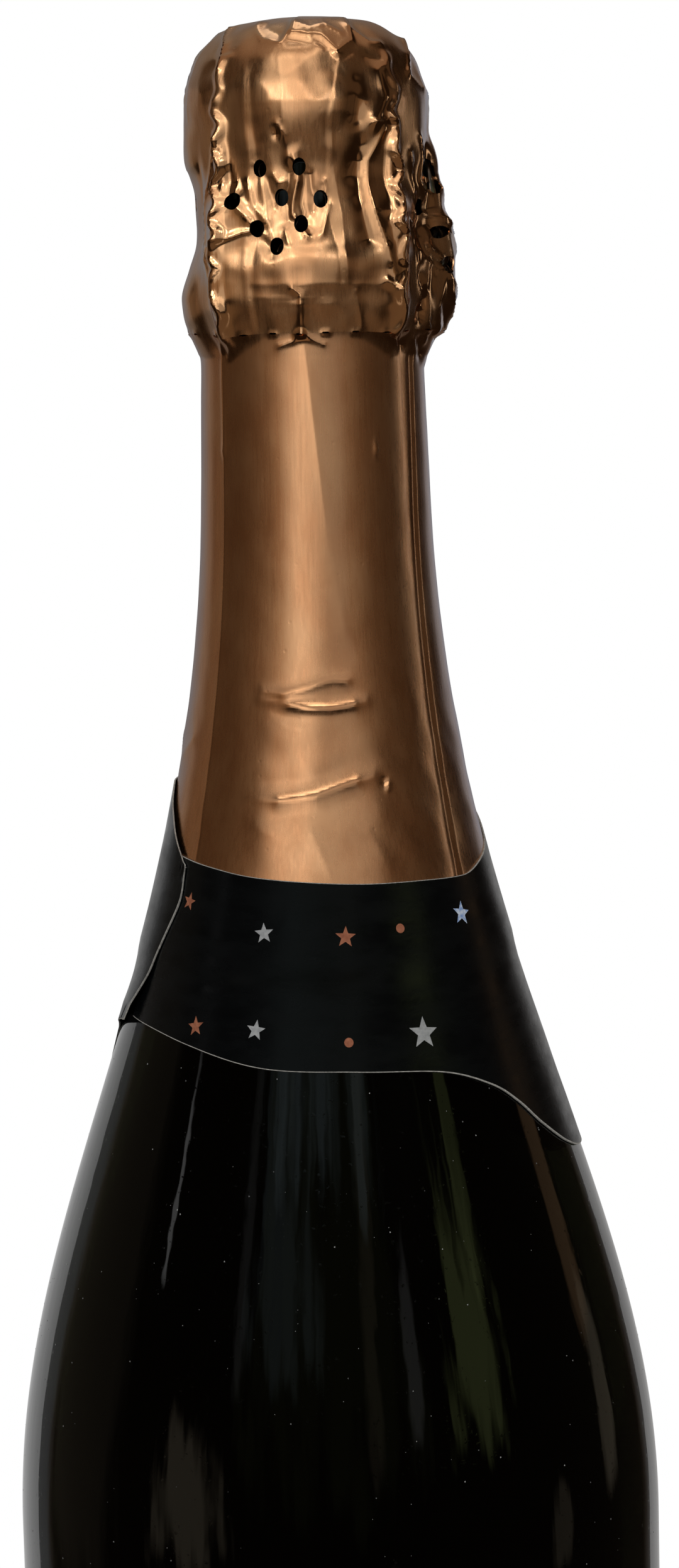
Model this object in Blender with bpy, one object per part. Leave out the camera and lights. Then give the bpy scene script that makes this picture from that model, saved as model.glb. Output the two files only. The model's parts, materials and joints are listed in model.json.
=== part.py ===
"""A sparkling wine bottle, full and sealed: glass, wine, cork, wire cage, foil and labels.

Metres, +Z up. The bottle stands on its bearing ring at z = 0 with its axis on Z. Azimuth is
measured round the axis from -Y towards +X, so azimuth 0 is the side that the photograph shows.
"""

import math

import bmesh
import bpy
import numpy as np
from mathutils import Vector

# Clearances
GAP = 0.0003  # between separate rigid pieces
SKIN_GAP = 0.00012  # under a foil or a label
GLUE_LINE = 0.0001  # between the cork's glued sections
STRAND_GAP = 0.0003  # between two twisted strands
OVERRUN = 0.002  # how far a cutter runs past what it cuts
WELD = 0.000001

# Facets
TURN_SEGMENTS = 36
HEAD_SEGMENTS = 72
HOOD_SEGMENTS = 56
SHOULDER_STEPS = 14
LABEL_COLUMNS = 72
LABEL_ROWS = 5
BODY_LABEL_COLUMNS = 24

# Glass: foot and punt
BODY_RADIUS = 0.0442
RING_RADIUS = 0.034  # of the middle of the flat ring that it stands on
RING_WIDTH = 0.003
HEEL_RISE = 0.010
PUNT_DEPTH = 0.033
PUNT_GLASS = 0.0075
FOOT_GLASS = 0.0065

# Glass: shoulder and neck
WALL = 0.0049
GLASS_HEIGHT = 0.300
NECK_LENGTH = 0.0452
SHOULDER_HEIGHT = 0.1404
SHOULDER_PULL = 0.0443
NECK_PULL = 0.0632
NECK_RADIUS = 0.01497
NECK_TAPER_SHARE = 0.03
NECK_START = GLASS_HEIGHT - NECK_LENGTH
BODY_TOP = NECK_START - SHOULDER_HEIGHT

# Glass: mouth
FINISH_RADIUS = 0.0143
LIP_ROUND = 0.0013
COLLAR_DROP = 0.0124  # from the lip down to the collar
COLLAR_HEIGHT = 0.0044
COLLAR_STEP = 0.0007
COLLAR_ROUND = 0.0011
GROOVE_DEPTH = 0.0007
GROOVE_HEIGHT = 0.0042
BORE_RADIUS = 0.00875
COLLAR_RADIUS = FINISH_RADIUS + COLLAR_STEP
COLLAR_TOP = GLASS_HEIGHT - COLLAR_DROP
COLLAR_BOTTOM = COLLAR_TOP - COLLAR_HEIGHT
GROOVE_RADIUS = FINISH_RADIUS - GROOVE_DEPTH
GROOVE_BOTTOM = COLLAR_BOTTOM - GROOVE_HEIGHT

# Wine
HEADSPACE = 0.079  # from the lip down to the wine

# Cork
CORK_INSERTION = 0.025
BORE_PAST_CORK = 0.002  # how far the straight bore runs on below the cork
DISC_THICKNESS = 0.0058
CORK_CHAMFER = 0.0008
HEAD_RADIUS = 0.0148
HEAD_SIDE = 0.006  # from the lip up to the head's widest height
HEAD_RISE = 0.0101  # of the dome above that
HEAD_FLANK = 0.0025
DOME_POWER_SHARE = 2.35  # 2 would be an ellipse
HEAD_WIDEST = GLASS_HEIGHT + HEAD_SIDE

# Plaque
PLAQUE_RADIUS = 0.0116
PLAQUE_THICKNESS = 0.0005

# Wire cage
CAGE_WIRE = 0.0008
BELT_WIRE = 0.0011
RING_STAND_OFF = 0.0004  # of the top ring from the plaque's edge
LEG_COUNT = 4
LEG_AZIMUTH = 45.0
LEG_TURNS = 5
LEG_START_SHARE = 0.38  # of the way from the top ring out to the head's side
POINTS_PER_TURN = 6
RING_POINTS = 6
EYE_POINTS = 8
BELT_POINTS = 44
TAB_AZIMUTH = 90.0
TAB_LENGTH = 0.018
TAB_TURNS = 2
TAB_LEAN = 0.0021  # how far the tab's tip leans in towards the neck
TAB_STAND_OFF = 0.0014  # of its bend, beyond the belt's ends
TAB_LOOP_WIDTH = 0.0052
TAB_TWIST_SHARE = 0.52  # of the tab's length that is twisted
BELT_END = 0.00095  # length of the belt's ends, beyond the collar
TOP_RING_RADIUS = PLAQUE_RADIUS + RING_STAND_OFF + GAP + CAGE_WIRE / 2
TWIST_RADIUS = (CAGE_WIRE + STRAND_GAP) / 2
TAB_TWIST_RADIUS = (BELT_WIRE + STRAND_GAP) / 2

# Foil
FOIL = 0.0002
HOOD_EASE = 0.0002  # of the hood over the cage's wires
TEAR_DROP = 0.023  # from the lip down to the tear line
RIM_EASE = 0.0012  # of the hood over the collar, at the tear line
BELLY_EASE = 0.0021  # and at the belt
WAIST_EASE = 0.0007  # of the hood over the finish
WAIST_DROP = 0.0065
HEAD_FOOT_DROP = 0.0007
HEAD_EASE = 0.00125  # of the hood over the cork's head, at its side
TOP_EASE = 0.0021  # and on top, over the plaque
RIDGE_HALF_WIDTH = 0.0026
TAB_BULGE_HALF_WIDTH = 0.0058
VENT_RADIUS = 0.00105
VENT_ROW_PITCH = 0.0040
VENT_SIDE_PITCH = 0.0059
VENT_DROP = 0.0056
VENT_AZIMUTH = -14.0
VENT_GROUPS = 4
VENT_ROW_COUNTS = (1, 2, 3, 2)  # from the lowest row up
VENT_SIDES = 6
SLEEVE_LENGTH = 0.081
SLEEVE_FLARE = 0.0046  # height over which the sleeve opens out to the hood's rim
TEAR_HEIGHT = GLASS_HEIGHT - TEAR_DROP
SLEEVE_BOTTOM = TEAR_HEIGHT - SLEEVE_LENGTH
RIM_RADIUS = COLLAR_RADIUS + RIM_EASE
WAIST_RADIUS = FINISH_RADIUS + WAIST_EASE
HOOD_RADIUS = HEAD_RADIUS + HEAD_EASE
HOOD_RISE = HEAD_RISE + TOP_EASE

# Neck label
LABEL = 0.0002
LABEL_STEP = 0.004  # height over which the label steps from the foil down to the glass
LABEL_OVER_FOIL = 0.0102  # how far the strap's top is above the foil's lower edge
LABEL_END_AZIMUTH = -57.0
LABEL_END_SWEEP = 14.0  # degrees that its end curves back, below and above
LABEL_LAP = 14.0  # degrees that the wide end lies over the narrow one
LABEL_LIFT = 0.0003  # of the lapping end above the narrow one
STRAP_WIDTH = 0.0234
STRAP_SAG = 0.0016  # how much higher its edges are at the strap's left end
PANEL_RISE = 0.0108  # of the wide panel above the strap
PANEL_DROP = 0.0168  # and below it
PANEL_START = 36.0
PANEL_FULL = 84.0
PANEL_TOP_START = 60.0
PANEL_TOP_FULL = 130.0
STRAP_TOP = SLEEVE_BOTTOM + LABEL_OVER_FOIL

# Body labels
FRONT_LABEL_WIDTH = 0.092
FRONT_LABEL_HEIGHT = 0.072
FRONT_LABEL_AZIMUTH = 165.0
BACK_LABEL_WIDTH = 0.052
BACK_LABEL_HEIGHT = 0.062
BACK_LABEL_AZIMUTH = -15.0
BODY_LABEL_RISE = 0.014  # from the heel up to the labels


def clear_scene():
    for old in list(bpy.data.objects):
        bpy.data.objects.remove(old, do_unlink=True)


def material(name, colour, roughness, metallic=0.0, alpha=1.0):
    made = bpy.data.materials.new(name)
    made.use_nodes = True
    made.diffuse_color = (*colour, alpha)
    shader = made.node_tree.nodes["Principled BSDF"]
    shader.inputs["Base Color"].default_value = (*colour, 1.0)
    shader.inputs["Roughness"].default_value = roughness
    shader.inputs["Metallic"].default_value = metallic
    shader.inputs["Alpha"].default_value = alpha
    return made


def place(radius, azimuth, height):
    """The point at this radius, azimuth in degrees and height."""
    turn = math.radians(azimuth)
    return Vector((radius * math.sin(turn), -radius * math.cos(turn), height))


def arc(centre, radii, start, end, steps):
    """(radius, height) points of an elliptical arc, with angles in degrees from +radius."""
    turns = [math.radians(start + (end - start) * i / steps) for i in range(steps + 1)]
    return [
        (centre[0] + radii[0] * math.cos(t), centre[1] + radii[1] * math.sin(t))
        for t in turns
    ]


def smooth_line(points, per_span):
    """A Catmull-Rom curve through the points."""
    p = np.array(points, float)
    p = np.vstack([2 * p[0] - p[1], p, 2 * p[-1] - p[-2]])
    line = []
    for a, b, c, d in zip(p[:-3], p[1:-2], p[2:-1], p[3:]):
        for t in np.arange(per_span) / per_span:
            line.append(
                b
                + t * (c - a) / 2
                + t**2 * (a - 2.5 * b + 2 * c - d / 2)
                + t**3 * (1.5 * b - a / 2 - 1.5 * c + d / 2)
            )
    return np.array(line + [p[-2]])


def mesh_object(name, bm, look):
    bmesh.ops.recalc_face_normals(bm, faces=bm.faces)
    mesh = bpy.data.meshes.new(name)
    bm.to_mesh(mesh)
    bm.free()
    mesh.shade_smooth()
    mesh.set_sharp_from_angle(angle=math.radians(40))
    mesh.materials.append(look)
    made = bpy.data.objects.new(name, mesh)
    bpy.context.scene.collection.objects.link(made)
    return made


def turned(name, outline, look, segments=TURN_SEGMENTS, closed=False, reshape=None):
    """Spins an outline of (radius, height) points round Z; reshape(azimuth, radius, height)
    may then give each point another radius."""
    bm = bmesh.new()
    ring = [bm.verts.new(place(radius, 0, height)) for radius, height in outline]
    pairs = list(zip(ring, ring[1:])) + ([(ring[-1], ring[0])] if closed else [])
    edges = [bm.edges.new(pair) for pair in pairs]
    bmesh.ops.spin(
        bm, geom=ring + edges, cent=(0, 0, 0), axis=(0, 0, 1),
        angle=math.tau, steps=segments, use_merge=True,
    )
    bmesh.ops.remove_doubles(bm, verts=bm.verts, dist=WELD)
    if reshape:
        for vert in bm.verts:
            radius = math.hypot(vert.co.x, vert.co.y)
            if radius > WELD:
                azimuth = math.degrees(math.atan2(vert.co.x, -vert.co.y))
                vert.co = place(reshape(azimuth, radius, vert.co.z), azimuth, vert.co.z)
    return mesh_object(name, bm, look)


def sheet(name, columns, rows, point, thickness, look):
    """A skin on a grid: point(share across, share up) gives one face, with +azimuth across, and
    the thickness is laid outside it, or inside it where it is negative."""
    bm = bmesh.new()
    grid = [
        [bm.verts.new(point(i / columns, j / rows)) for j in range(rows + 1)]
        for i in range(columns + 1)
    ]
    for left, right in zip(grid, grid[1:]):
        for j in range(rows):
            bm.faces.new((left[j], right[j], right[j + 1], left[j + 1]))
    bmesh.ops.remove_doubles(bm, verts=bm.verts, dist=WELD)
    mesh = bpy.data.meshes.new(name)
    bm.to_mesh(mesh)
    bm.free()
    mesh.shade_smooth()
    mesh.materials.append(look)
    made = bpy.data.objects.new(name, mesh)
    bpy.context.scene.collection.objects.link(made)
    wall = made.modifiers.new("thickness", "SOLIDIFY")
    wall.thickness = abs(thickness)
    wall.offset = math.copysign(1, thickness)
    return made


def wire(name, points, diameter, look, closed=False):
    """A round wire along the points, six-sided."""
    curve = bpy.data.curves.new(name, "CURVE")
    curve.dimensions = "3D"
    curve.bevel_depth = diameter / 2
    curve.bevel_resolution = 1
    curve.use_fill_caps = not closed
    line = curve.splines.new("POLY")
    line.points.add(len(points) - 1)
    for spot, point in zip(line.points, points):
        spot.co = (*point, 1.0)
    line.use_cyclic_u = closed
    curve.materials.append(look)
    made = bpy.data.objects.new(name, curve)
    bpy.context.scene.collection.objects.link(made)
    return made


def carry(carrier_name, height, pieces):
    """Parents the pieces to an empty on the bottle's axis, and leaves them where they are."""
    empty = bpy.data.objects.new(carrier_name, None)
    empty.location = (0, 0, height)
    bpy.context.scene.collection.objects.link(empty)
    for piece in pieces:
        piece.parent = empty
        piece.location = piece.location - empty.location
    return empty


def away(azimuth, middle):
    """Degrees from one azimuth to another, from -180 to 180."""
    return (azimuth - middle + 180) % 360 - 180


def from_leg(azimuth):
    """Degrees to the nearest leg of the cage."""
    pitch = 360 / LEG_COUNT
    turn = (azimuth - LEG_AZIMUTH) % pitch
    return min(turn, pitch - turn)


# Glass and wine


def shoulder(inset, steps):
    """The shoulder's cubic curve from the body up to the neck, moved in by the inset."""
    corners = np.array([
        (BODY_RADIUS, BODY_TOP),
        (BODY_RADIUS, BODY_TOP + SHOULDER_PULL),
        (NECK_RADIUS + NECK_TAPER_SHARE * NECK_PULL, NECK_START - NECK_PULL),
        (NECK_RADIUS, NECK_START),
    ])
    points = []
    for t in np.arange(steps + 1) / steps:
        shares = ((1 - t) ** 3, 3 * t * (1 - t) ** 2, 3 * t**2 * (1 - t), t**3)
        radius, height = shares @ corners
        points.append((radius - inset, height))
    return points


def neck_radius(height):
    return NECK_RADIUS - NECK_TAPER_SHARE * (height - NECK_START)


def skin_radius(height):
    """The glass's outer radius at a height on its shoulder or neck, as its facets have it."""
    curve = shoulder(0, SHOULDER_STEPS)
    if height >= NECK_START:
        return neck_radius(height)
    return float(np.interp(height, [p[1] for p in curve], [p[0] for p in curve]))


def punt_radius():
    return RING_RADIUS - RING_WIDTH / 2


def hollow(inset):
    """The hollow's outline, moved in by the inset: over the punt, round the trough beside it, up
    the wall and through the shoulder to the bottom of the bore."""
    rim = punt_radius() + PUNT_GLASS / 2
    trough = (BODY_RADIUS - WALL - rim) / 2
    floor = FOOT_GLASS + trough
    rise = PUNT_DEPTH + PUNT_GLASS - floor
    over_punt = arc((0, floor), (rim + inset, rise + inset), 90, 0, 6)
    beside_punt = arc((rim + trough, floor), (trough - inset, trough - inset), 180, 360, 4)
    return over_punt[:-1] + beside_punt + shoulder(WALL + inset, SHOULDER_STEPS // 2)


def glass_outline():
    """From the middle of the hollow's floor, out through the mouth, to the middle of the punt."""
    lip = GLASS_HEIGHT - LIP_ROUND
    rounds = (LIP_ROUND, LIP_ROUND)
    mouth = [(BORE_RADIUS, GLASS_HEIGHT - CORK_INSERTION - BORE_PAST_CORK), (BORE_RADIUS, lip)]
    mouth += arc((BORE_RADIUS + LIP_ROUND, lip), rounds, 180, 90, 2)[1:]
    mouth += arc((FINISH_RADIUS - LIP_ROUND, lip), rounds, 90, 0, 3)
    middle = COLLAR_RADIUS - COLLAR_ROUND
    rounds = (COLLAR_ROUND, COLLAR_ROUND)
    collar = [(FINISH_RADIUS, COLLAR_TOP)]
    collar += arc((middle, COLLAR_TOP - COLLAR_ROUND), rounds, 60, 0, 2)
    collar += arc((middle, COLLAR_BOTTOM + COLLAR_ROUND), rounds, 0, -90, 3)
    groove = [
        (GROOVE_RADIUS, COLLAR_BOTTOM),
        (GROOVE_RADIUS, GROOVE_BOTTOM + COLLAR_ROUND),
        (neck_radius(GROOVE_BOTTOM), GROOVE_BOTTOM),
    ]
    outside = shoulder(0, SHOULDER_STEPS)[::-1]
    ring_edge = RING_RADIUS + RING_WIDTH / 2
    heel = arc((ring_edge, HEEL_RISE), (BODY_RADIUS - ring_edge, HEEL_RISE), 0, -90, 4)
    punt = arc((0, 0), (punt_radius(), PUNT_DEPTH), 0, 90, 7)
    return hollow(0) + mouth + collar + groove + outside + heel + punt


def glass_bottle():
    look = material("dark_glass", (0.010, 0.016, 0.008), 0.06, alpha=0.9)
    return turned("glass_bottle", glass_outline(), look)


def wine():
    """The wine fills the hollow up to its level, a gap clear of the glass."""
    level = GLASS_HEIGHT - HEADSPACE
    wall = hollow(GAP)
    neck = [p for p in wall if p[1] > BODY_TOP - WELD]
    brim = float(np.interp(level, [p[1] for p in neck], [p[0] for p in neck]))
    under = wall[: -len(neck)] + [p for p in neck if p[1] < level - GAP]
    outline = under + [(brim, level), (0, level)]
    return turned("wine", outline, material("wine", (0.78, 0.66, 0.28), 0.05, alpha=0.6))


# Cork and plaque


def dome(offset, steps):
    """The head's dome, moved out by an offset, from its middle out to its widest height."""
    turns = np.linspace(0, math.pi / 2, steps + 1)
    radii = [(HEAD_RADIUS + offset) * math.sin(turn) for turn in turns]
    return [(radius, dome_height(radius, offset)) for radius in radii]


def dome_height(radius, offset):
    share = min(1.0, radius / (HEAD_RADIUS + offset))
    rise = (1 - share**DOME_POWER_SHARE) ** (1 / DOME_POWER_SHARE)
    return HEAD_WIDEST + (HEAD_RISE + offset) * rise


def cork_trunk():
    """The agglomerated body: a plug in the bore and a mushroom head, with a channel pressed into
    the head by each leg of the cage."""
    shaft = BORE_RADIUS - GAP
    seat = GLASS_HEIGHT + GAP
    bottom = GLASS_HEIGHT - CORK_INSERTION + 2 * (DISC_THICKNESS + GLUE_LINE)
    under_side = HEAD_RADIUS - HEAD_FLANK
    flank = arc((under_side, seat + HEAD_FLANK), (HEAD_FLANK, HEAD_FLANK), 0, -90, 3)
    outline = dome(0, 6) + flank + [(shaft, seat), (shaft, bottom), (0, bottom)]

    def channel(azimuth, radius, height):
        if radius < under_side - WELD:
            return radius
        across = math.radians(from_leg(azimuth)) * HEAD_RADIUS
        return radius - leg_half() * math.exp(-((across / (2 * leg_half())) ** 4))

    look = material("cork", (0.62, 0.44, 0.26), 0.8)
    return turned("cork_trunk", outline, look, HEAD_SEGMENTS, reshape=channel)


def cork_disc(name, number):
    """A natural cork disc glued under the trunk, counted up from the wine."""
    shaft = BORE_RADIUS - GAP
    bottom = GLASS_HEIGHT - CORK_INSERTION + number * (DISC_THICKNESS + GLUE_LINE)
    top = bottom + DISC_THICKNESS
    chamfer = CORK_CHAMFER if number == 0 else 0
    outline = [(0, top), (shaft, top), (shaft, bottom + chamfer)]
    if chamfer:
        outline.append((shaft - chamfer, bottom))
    look = material(name, (0.70, 0.52, 0.32), 0.75)
    return turned(name, outline + [(0, bottom)], look)


def plaque():
    """A dished tinplate disc between the cork's head and the cage's top ring."""
    under = [(r, dome_height(r, GAP)) for r in np.linspace(PLAQUE_RADIUS, 0, 5)]
    over = [(r, dome_height(r, GAP) + PLAQUE_THICKNESS) for r in np.linspace(0, PLAQUE_RADIUS, 5)]
    return turned("plaque", over + under, material("tinplate", (0.55, 0.36, 0.26), 0.3, 0.9))


# Wire cage


def leg_half():
    """Half the thickness of a leg of two twisted strands."""
    return TWIST_RADIUS + CAGE_WIRE / 2


def belt_height():
    """The belt's centre: an eye's strand passes between it and the collar."""
    return COLLAR_BOTTOM - GAP - CAGE_WIRE - GAP - BELT_WIRE / 2


def eye_radius():
    """Radius of an eye's centre line round the belt's wire."""
    return BELT_WIRE / 2 + GAP + CAGE_WIRE / 2


def belt_out_radius():
    """Where the belt passes outside an eye's inner strand."""
    return GROOVE_RADIUS + GAP + CAGE_WIRE / 2 + eye_radius()


def leg_line():
    """(radius, height) along a leg, from the top ring to where its eye starts."""
    beside_lip = FINISH_RADIUS + GAP + leg_half()
    beside_collar = COLLAR_RADIUS + GAP + leg_half()
    side = HEAD_RADIUS + GAP
    start = TOP_RING_RADIUS + LEG_START_SHARE * (side - TOP_RING_RADIUS)
    upper = [(r, dome_height(r, GAP)) for r in np.linspace(start, side, 4)]
    lower = [
        (beside_lip - GAP, (HEAD_WIDEST + GLASS_HEIGHT) / 2),
        (beside_lip, GLASS_HEIGHT),
        (beside_lip + GAP, (GLASS_HEIGHT + COLLAR_TOP) / 2),
        (beside_collar, COLLAR_TOP),
        (beside_collar, COLLAR_BOTTOM + COLLAR_ROUND),
    ]
    line = smooth_line(upper + lower, 8)
    steps = np.r_[0, np.cumsum(np.linalg.norm(np.diff(line, axis=0), axis=1))]
    count = LEG_TURNS * POINTS_PER_TURN + 1
    along = np.linspace(0, steps[-1], count)
    return np.c_[np.interp(along, steps, line[:, 0]), np.interp(along, steps, line[:, 1])]


def leg_strand(line, azimuth, side):
    """One of a leg's two twisted strands, from the top down; side is -1 or +1."""
    slopes = np.gradient(line, axis=0)
    slopes /= np.linalg.norm(slopes, axis=1)[:, None]
    along_belt = place(1, azimuth + 90, 0)
    points = []
    for i, (radius, height) in enumerate(line):
        turn = math.tau * i / POINTS_PER_TURN
        lift = side * TWIST_RADIUS * math.sin(turn)
        point = place(radius - lift * slopes[i, 1], azimuth, height)
        point += Vector((0, 0, lift * slopes[i, 0]))
        points.append(point + along_belt * side * TWIST_RADIUS * math.cos(turn))
    return points


def leg_eye(azimuth):
    """The loop at a leg's foot, round the belt, from one strand to the other."""
    along_belt = place(1, azimuth + 90, 0)
    points = []
    for i in range(EYE_POINTS + 1):
        share = i / EYE_POINTS
        turn = math.radians(15 - 285 * share)
        radius = belt_out_radius() + eye_radius() * math.cos(turn)
        point = place(radius, azimuth, belt_height() + eye_radius() * math.sin(turn))
        points.append(point + along_belt * TWIST_RADIUS * (2 * share - 1))
    return points


def cage_wire(look):
    """One closed wire: a ring round the plaque, drawn down at four places into twisted legs."""
    line = leg_line()
    part_turn = math.degrees((TWIST_RADIUS + CAGE_WIRE) / TOP_RING_RADIUS)
    ring_height = dome_height(TOP_RING_RADIUS, GAP + CAGE_WIRE / 2)
    pitch = 360 / LEG_COUNT
    points = []
    for leg in range(LEG_COUNT):
        azimuth = LEG_AZIMUTH + leg * pitch
        points += leg_strand(line, azimuth, -1)
        points += leg_eye(azimuth)
        points += leg_strand(line, azimuth, 1)[::-1]
        for share in np.linspace(0, 1, RING_POINTS):
            turn = azimuth + part_turn + share * (pitch - 2 * part_turn)
            points.append(place(TOP_RING_RADIUS, turn, ring_height))
    return wire("cage_wire", points, CAGE_WIRE, look, closed=True)


def belt_radius(azimuth):
    """Tight under the collar between the legs, and outside each eye's inner strand at a leg."""
    tight = GROOVE_RADIUS + GAP + BELT_WIRE / 2
    swing = math.cos(math.radians(LEG_COUNT * (azimuth - LEG_AZIMUTH)))
    return tight + (belt_out_radius() - tight) * (1 + swing) / 2


def tab_root_radius():
    """Where the belt's ends meet the tab's: clear of the collar."""
    return COLLAR_RADIUS + GAP + BELT_END


def cage_belt(look):
    """The belt under the collar, whose two ends turn outwards to the tab."""
    tight = belt_radius(TAB_AZIMUTH)
    start = math.degrees((TAB_TWIST_RADIUS + BELT_WIRE) / tight)
    points = []
    for share in np.linspace(0, 1, BELT_POINTS):
        azimuth = TAB_AZIMUTH + start + share * (360 - 2 * start)
        points.append(place(belt_radius(azimuth), azimuth, belt_height()))
    ends = []
    for side in (1, -1):
        across = place(1, TAB_AZIMUTH + 90, 0) * side
        inner = place(tight + BELT_WIRE / 2, TAB_AZIMUTH, belt_height())
        outer = place(tab_root_radius(), TAB_AZIMUTH, belt_height())
        near = inner + across * (TAB_TWIST_RADIUS + GAP)
        ends.append([outer + across * TAB_TWIST_RADIUS, near])
    points = ends[0] + points + ends[1][::-1]
    return wire("cage_belt", points, BELT_WIRE, look)


def tab_line(steps):
    """(radius, height) along the folded tab's middle, from its root at the belt's ends to its tip."""
    root = tab_root_radius() + GAP
    bend = root + TAB_STAND_OFF
    foot = belt_height()
    knots = [
        (root, foot),
        ((root + bend) / 2, foot + TAB_STAND_OFF / 8),
        (bend, foot + TAB_STAND_OFF),
        (bend - TAB_LEAN / 6, foot + TAB_LENGTH / 5),
        (bend - TAB_LEAN / 2, foot + TAB_LENGTH / 2),
        (bend - TAB_LEAN, foot + TAB_LENGTH),
    ]
    line = smooth_line(knots, 8)
    lengths = np.r_[0, np.cumsum(np.linalg.norm(np.diff(line, axis=0), axis=1))]
    along = np.linspace(0, lengths[-1], steps + 1)
    return np.c_[np.interp(along, lengths, line[:, 0]), np.interp(along, lengths, line[:, 1])]


def cage_tab(look):
    """The belt's twisted ends with the loop that is turned by hand, folded up against the collar.
    Its origin is on the line that it folds about."""
    twist_points = TAB_TURNS * POINTS_PER_TURN
    steps = round(twist_points / TAB_TWIST_SHARE)
    line = tab_line(steps)
    slopes = np.gradient(line, axis=0)
    slopes /= np.linalg.norm(slopes, axis=1)[:, None]
    along_belt = place(1, TAB_AZIMUTH + 90, 0)
    hinge = place(tab_root_radius(), TAB_AZIMUTH, belt_height())
    strands = []
    for side in (1, -1):
        strand = []
        for i, (radius, height) in enumerate(line):
            turn = math.tau * max(0, min(i - 1, twist_points)) / POINTS_PER_TURN
            spread = TAB_TWIST_RADIUS
            if i > twist_points + 1:
                share = (i - twist_points - 1) / (steps - twist_points - 1)
                spread += (TAB_LOOP_WIDTH / 2 - TAB_TWIST_RADIUS) * math.sin(math.pi * share) ** 0.7
            across = side * spread * math.cos(turn)
            lift = side * spread * math.sin(turn)
            point = place(radius - lift * slopes[i, 1], TAB_AZIMUTH, height + lift * slopes[i, 0])
            strand.append(point + along_belt * across - hinge)
        strands.append(strand)
    made = wire("cage_tab", strands[0] + strands[1][::-1], BELT_WIRE, look)
    made.location = hinge
    return made


# Foil


def hood_crown(share):
    """The dome's rise at a share of its radius."""
    return HOOD_RISE * max(0, 1 - share**DOME_POWER_SHARE) ** (1 / DOME_POWER_SHARE)


def hood_side():
    """(radius, height) up the hood from the tear line to its widest, where nothing bulges."""
    collar = COLLAR_RADIUS + GAP + FOIL + HOOD_EASE
    foot = GLASS_HEIGHT - HEAD_FOOT_DROP
    waist = GLASS_HEIGHT - WAIST_DROP
    belly = COLLAR_RADIUS + BELLY_EASE
    return [
        (RIM_RADIUS, TEAR_HEIGHT + GAP),
        (belly - GAP, belt_height() - eye_radius() - CAGE_WIRE / 2),
        (belly, belt_height()),
        (belly - GAP, COLLAR_BOTTOM),
        (collar, COLLAR_TOP),
        (WAIST_RADIUS, waist),
        ((WAIST_RADIUS + HOOD_RADIUS) / 2, (waist + foot) / 2),
        (HOOD_RADIUS, foot),
        (HOOD_RADIUS, HEAD_WIDEST),
    ]


def leg_reach(height):
    """How far out a leg or its eye reaches at a height, or nothing below the eye."""
    line = leg_line()[::-1]
    if height < belt_height() - eye_radius() - CAGE_WIRE:
        return 0.0
    if height > COLLAR_TOP:
        return float(np.interp(height, line[:, 1], line[:, 0] + leg_half()))
    return max(belt_out_radius() + eye_radius() + CAGE_WIRE / 2, line[0, 0] + leg_half())


def tab_reach(height):
    """How far out the folded tab reaches at a height, and nothing well above or below it."""
    half = TAB_TWIST_RADIUS + BELT_WIRE / 2
    tip = belt_height() + TAB_LENGTH + BELT_WIRE
    outside = max(0.0, belt_height() - half - height, height - tip)
    rising = tab_line(20)[3:]
    twisted = height < belt_height() + TAB_LENGTH * TAB_TWIST_SHARE
    reach = np.interp(height, rising[:, 1], rising[:, 0]) + (half if twisted else BELT_WIRE / 2)
    return float(reach) * max(0.0, 1 - outside / SLEEVE_FLARE)


def hood_bulge(azimuth, height, base):
    """What the legs and the tab under the foil add to its radius."""
    clear = GAP + FOIL + HOOD_EASE
    across = math.radians(from_leg(azimuth)) * HOOD_RADIUS
    over_leg = max(0.0, leg_reach(height) + clear - base)
    if height > HEAD_WIDEST + HEAD_RISE / 2:
        over_leg = 0.0
    over_leg *= math.exp(-((across / RIDGE_HALF_WIDTH) ** 2))
    across = math.radians(away(azimuth, TAB_AZIMUTH)) * HOOD_RADIUS
    over_tab = max(0.0, tab_reach(height) + clear - base)
    return max(over_leg, over_tab * math.exp(-((across / TAB_BULGE_HALF_WIDTH) ** 4)))


def foil_hood(look):
    """The part of the foil over the cork, the cage and the collar, down to the tear line."""
    outline = hood_side()
    for turn in np.linspace(math.pi / 2, 0, 8)[1:]:
        share = math.sin(turn)
        outline.append((HOOD_RADIUS * share, HEAD_WIDEST + hood_crown(share)))
    rows = len(outline) - 1

    def point(across, up):
        radius, height = outline[round(up * rows)]
        azimuth = 360 * across
        bulge = hood_bulge(azimuth, height, radius) if radius > WELD else 0
        return place(radius + bulge, azimuth, height)

    made = sheet("foil_hood", HOOD_SEGMENTS, rows, point, -FOIL, look)
    cut = made.modifiers.new("vents", "BOOLEAN")
    cut.object = vent_cutter()
    cut.operation = "DIFFERENCE"
    cut.solver = "EXACT"
    return made


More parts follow.
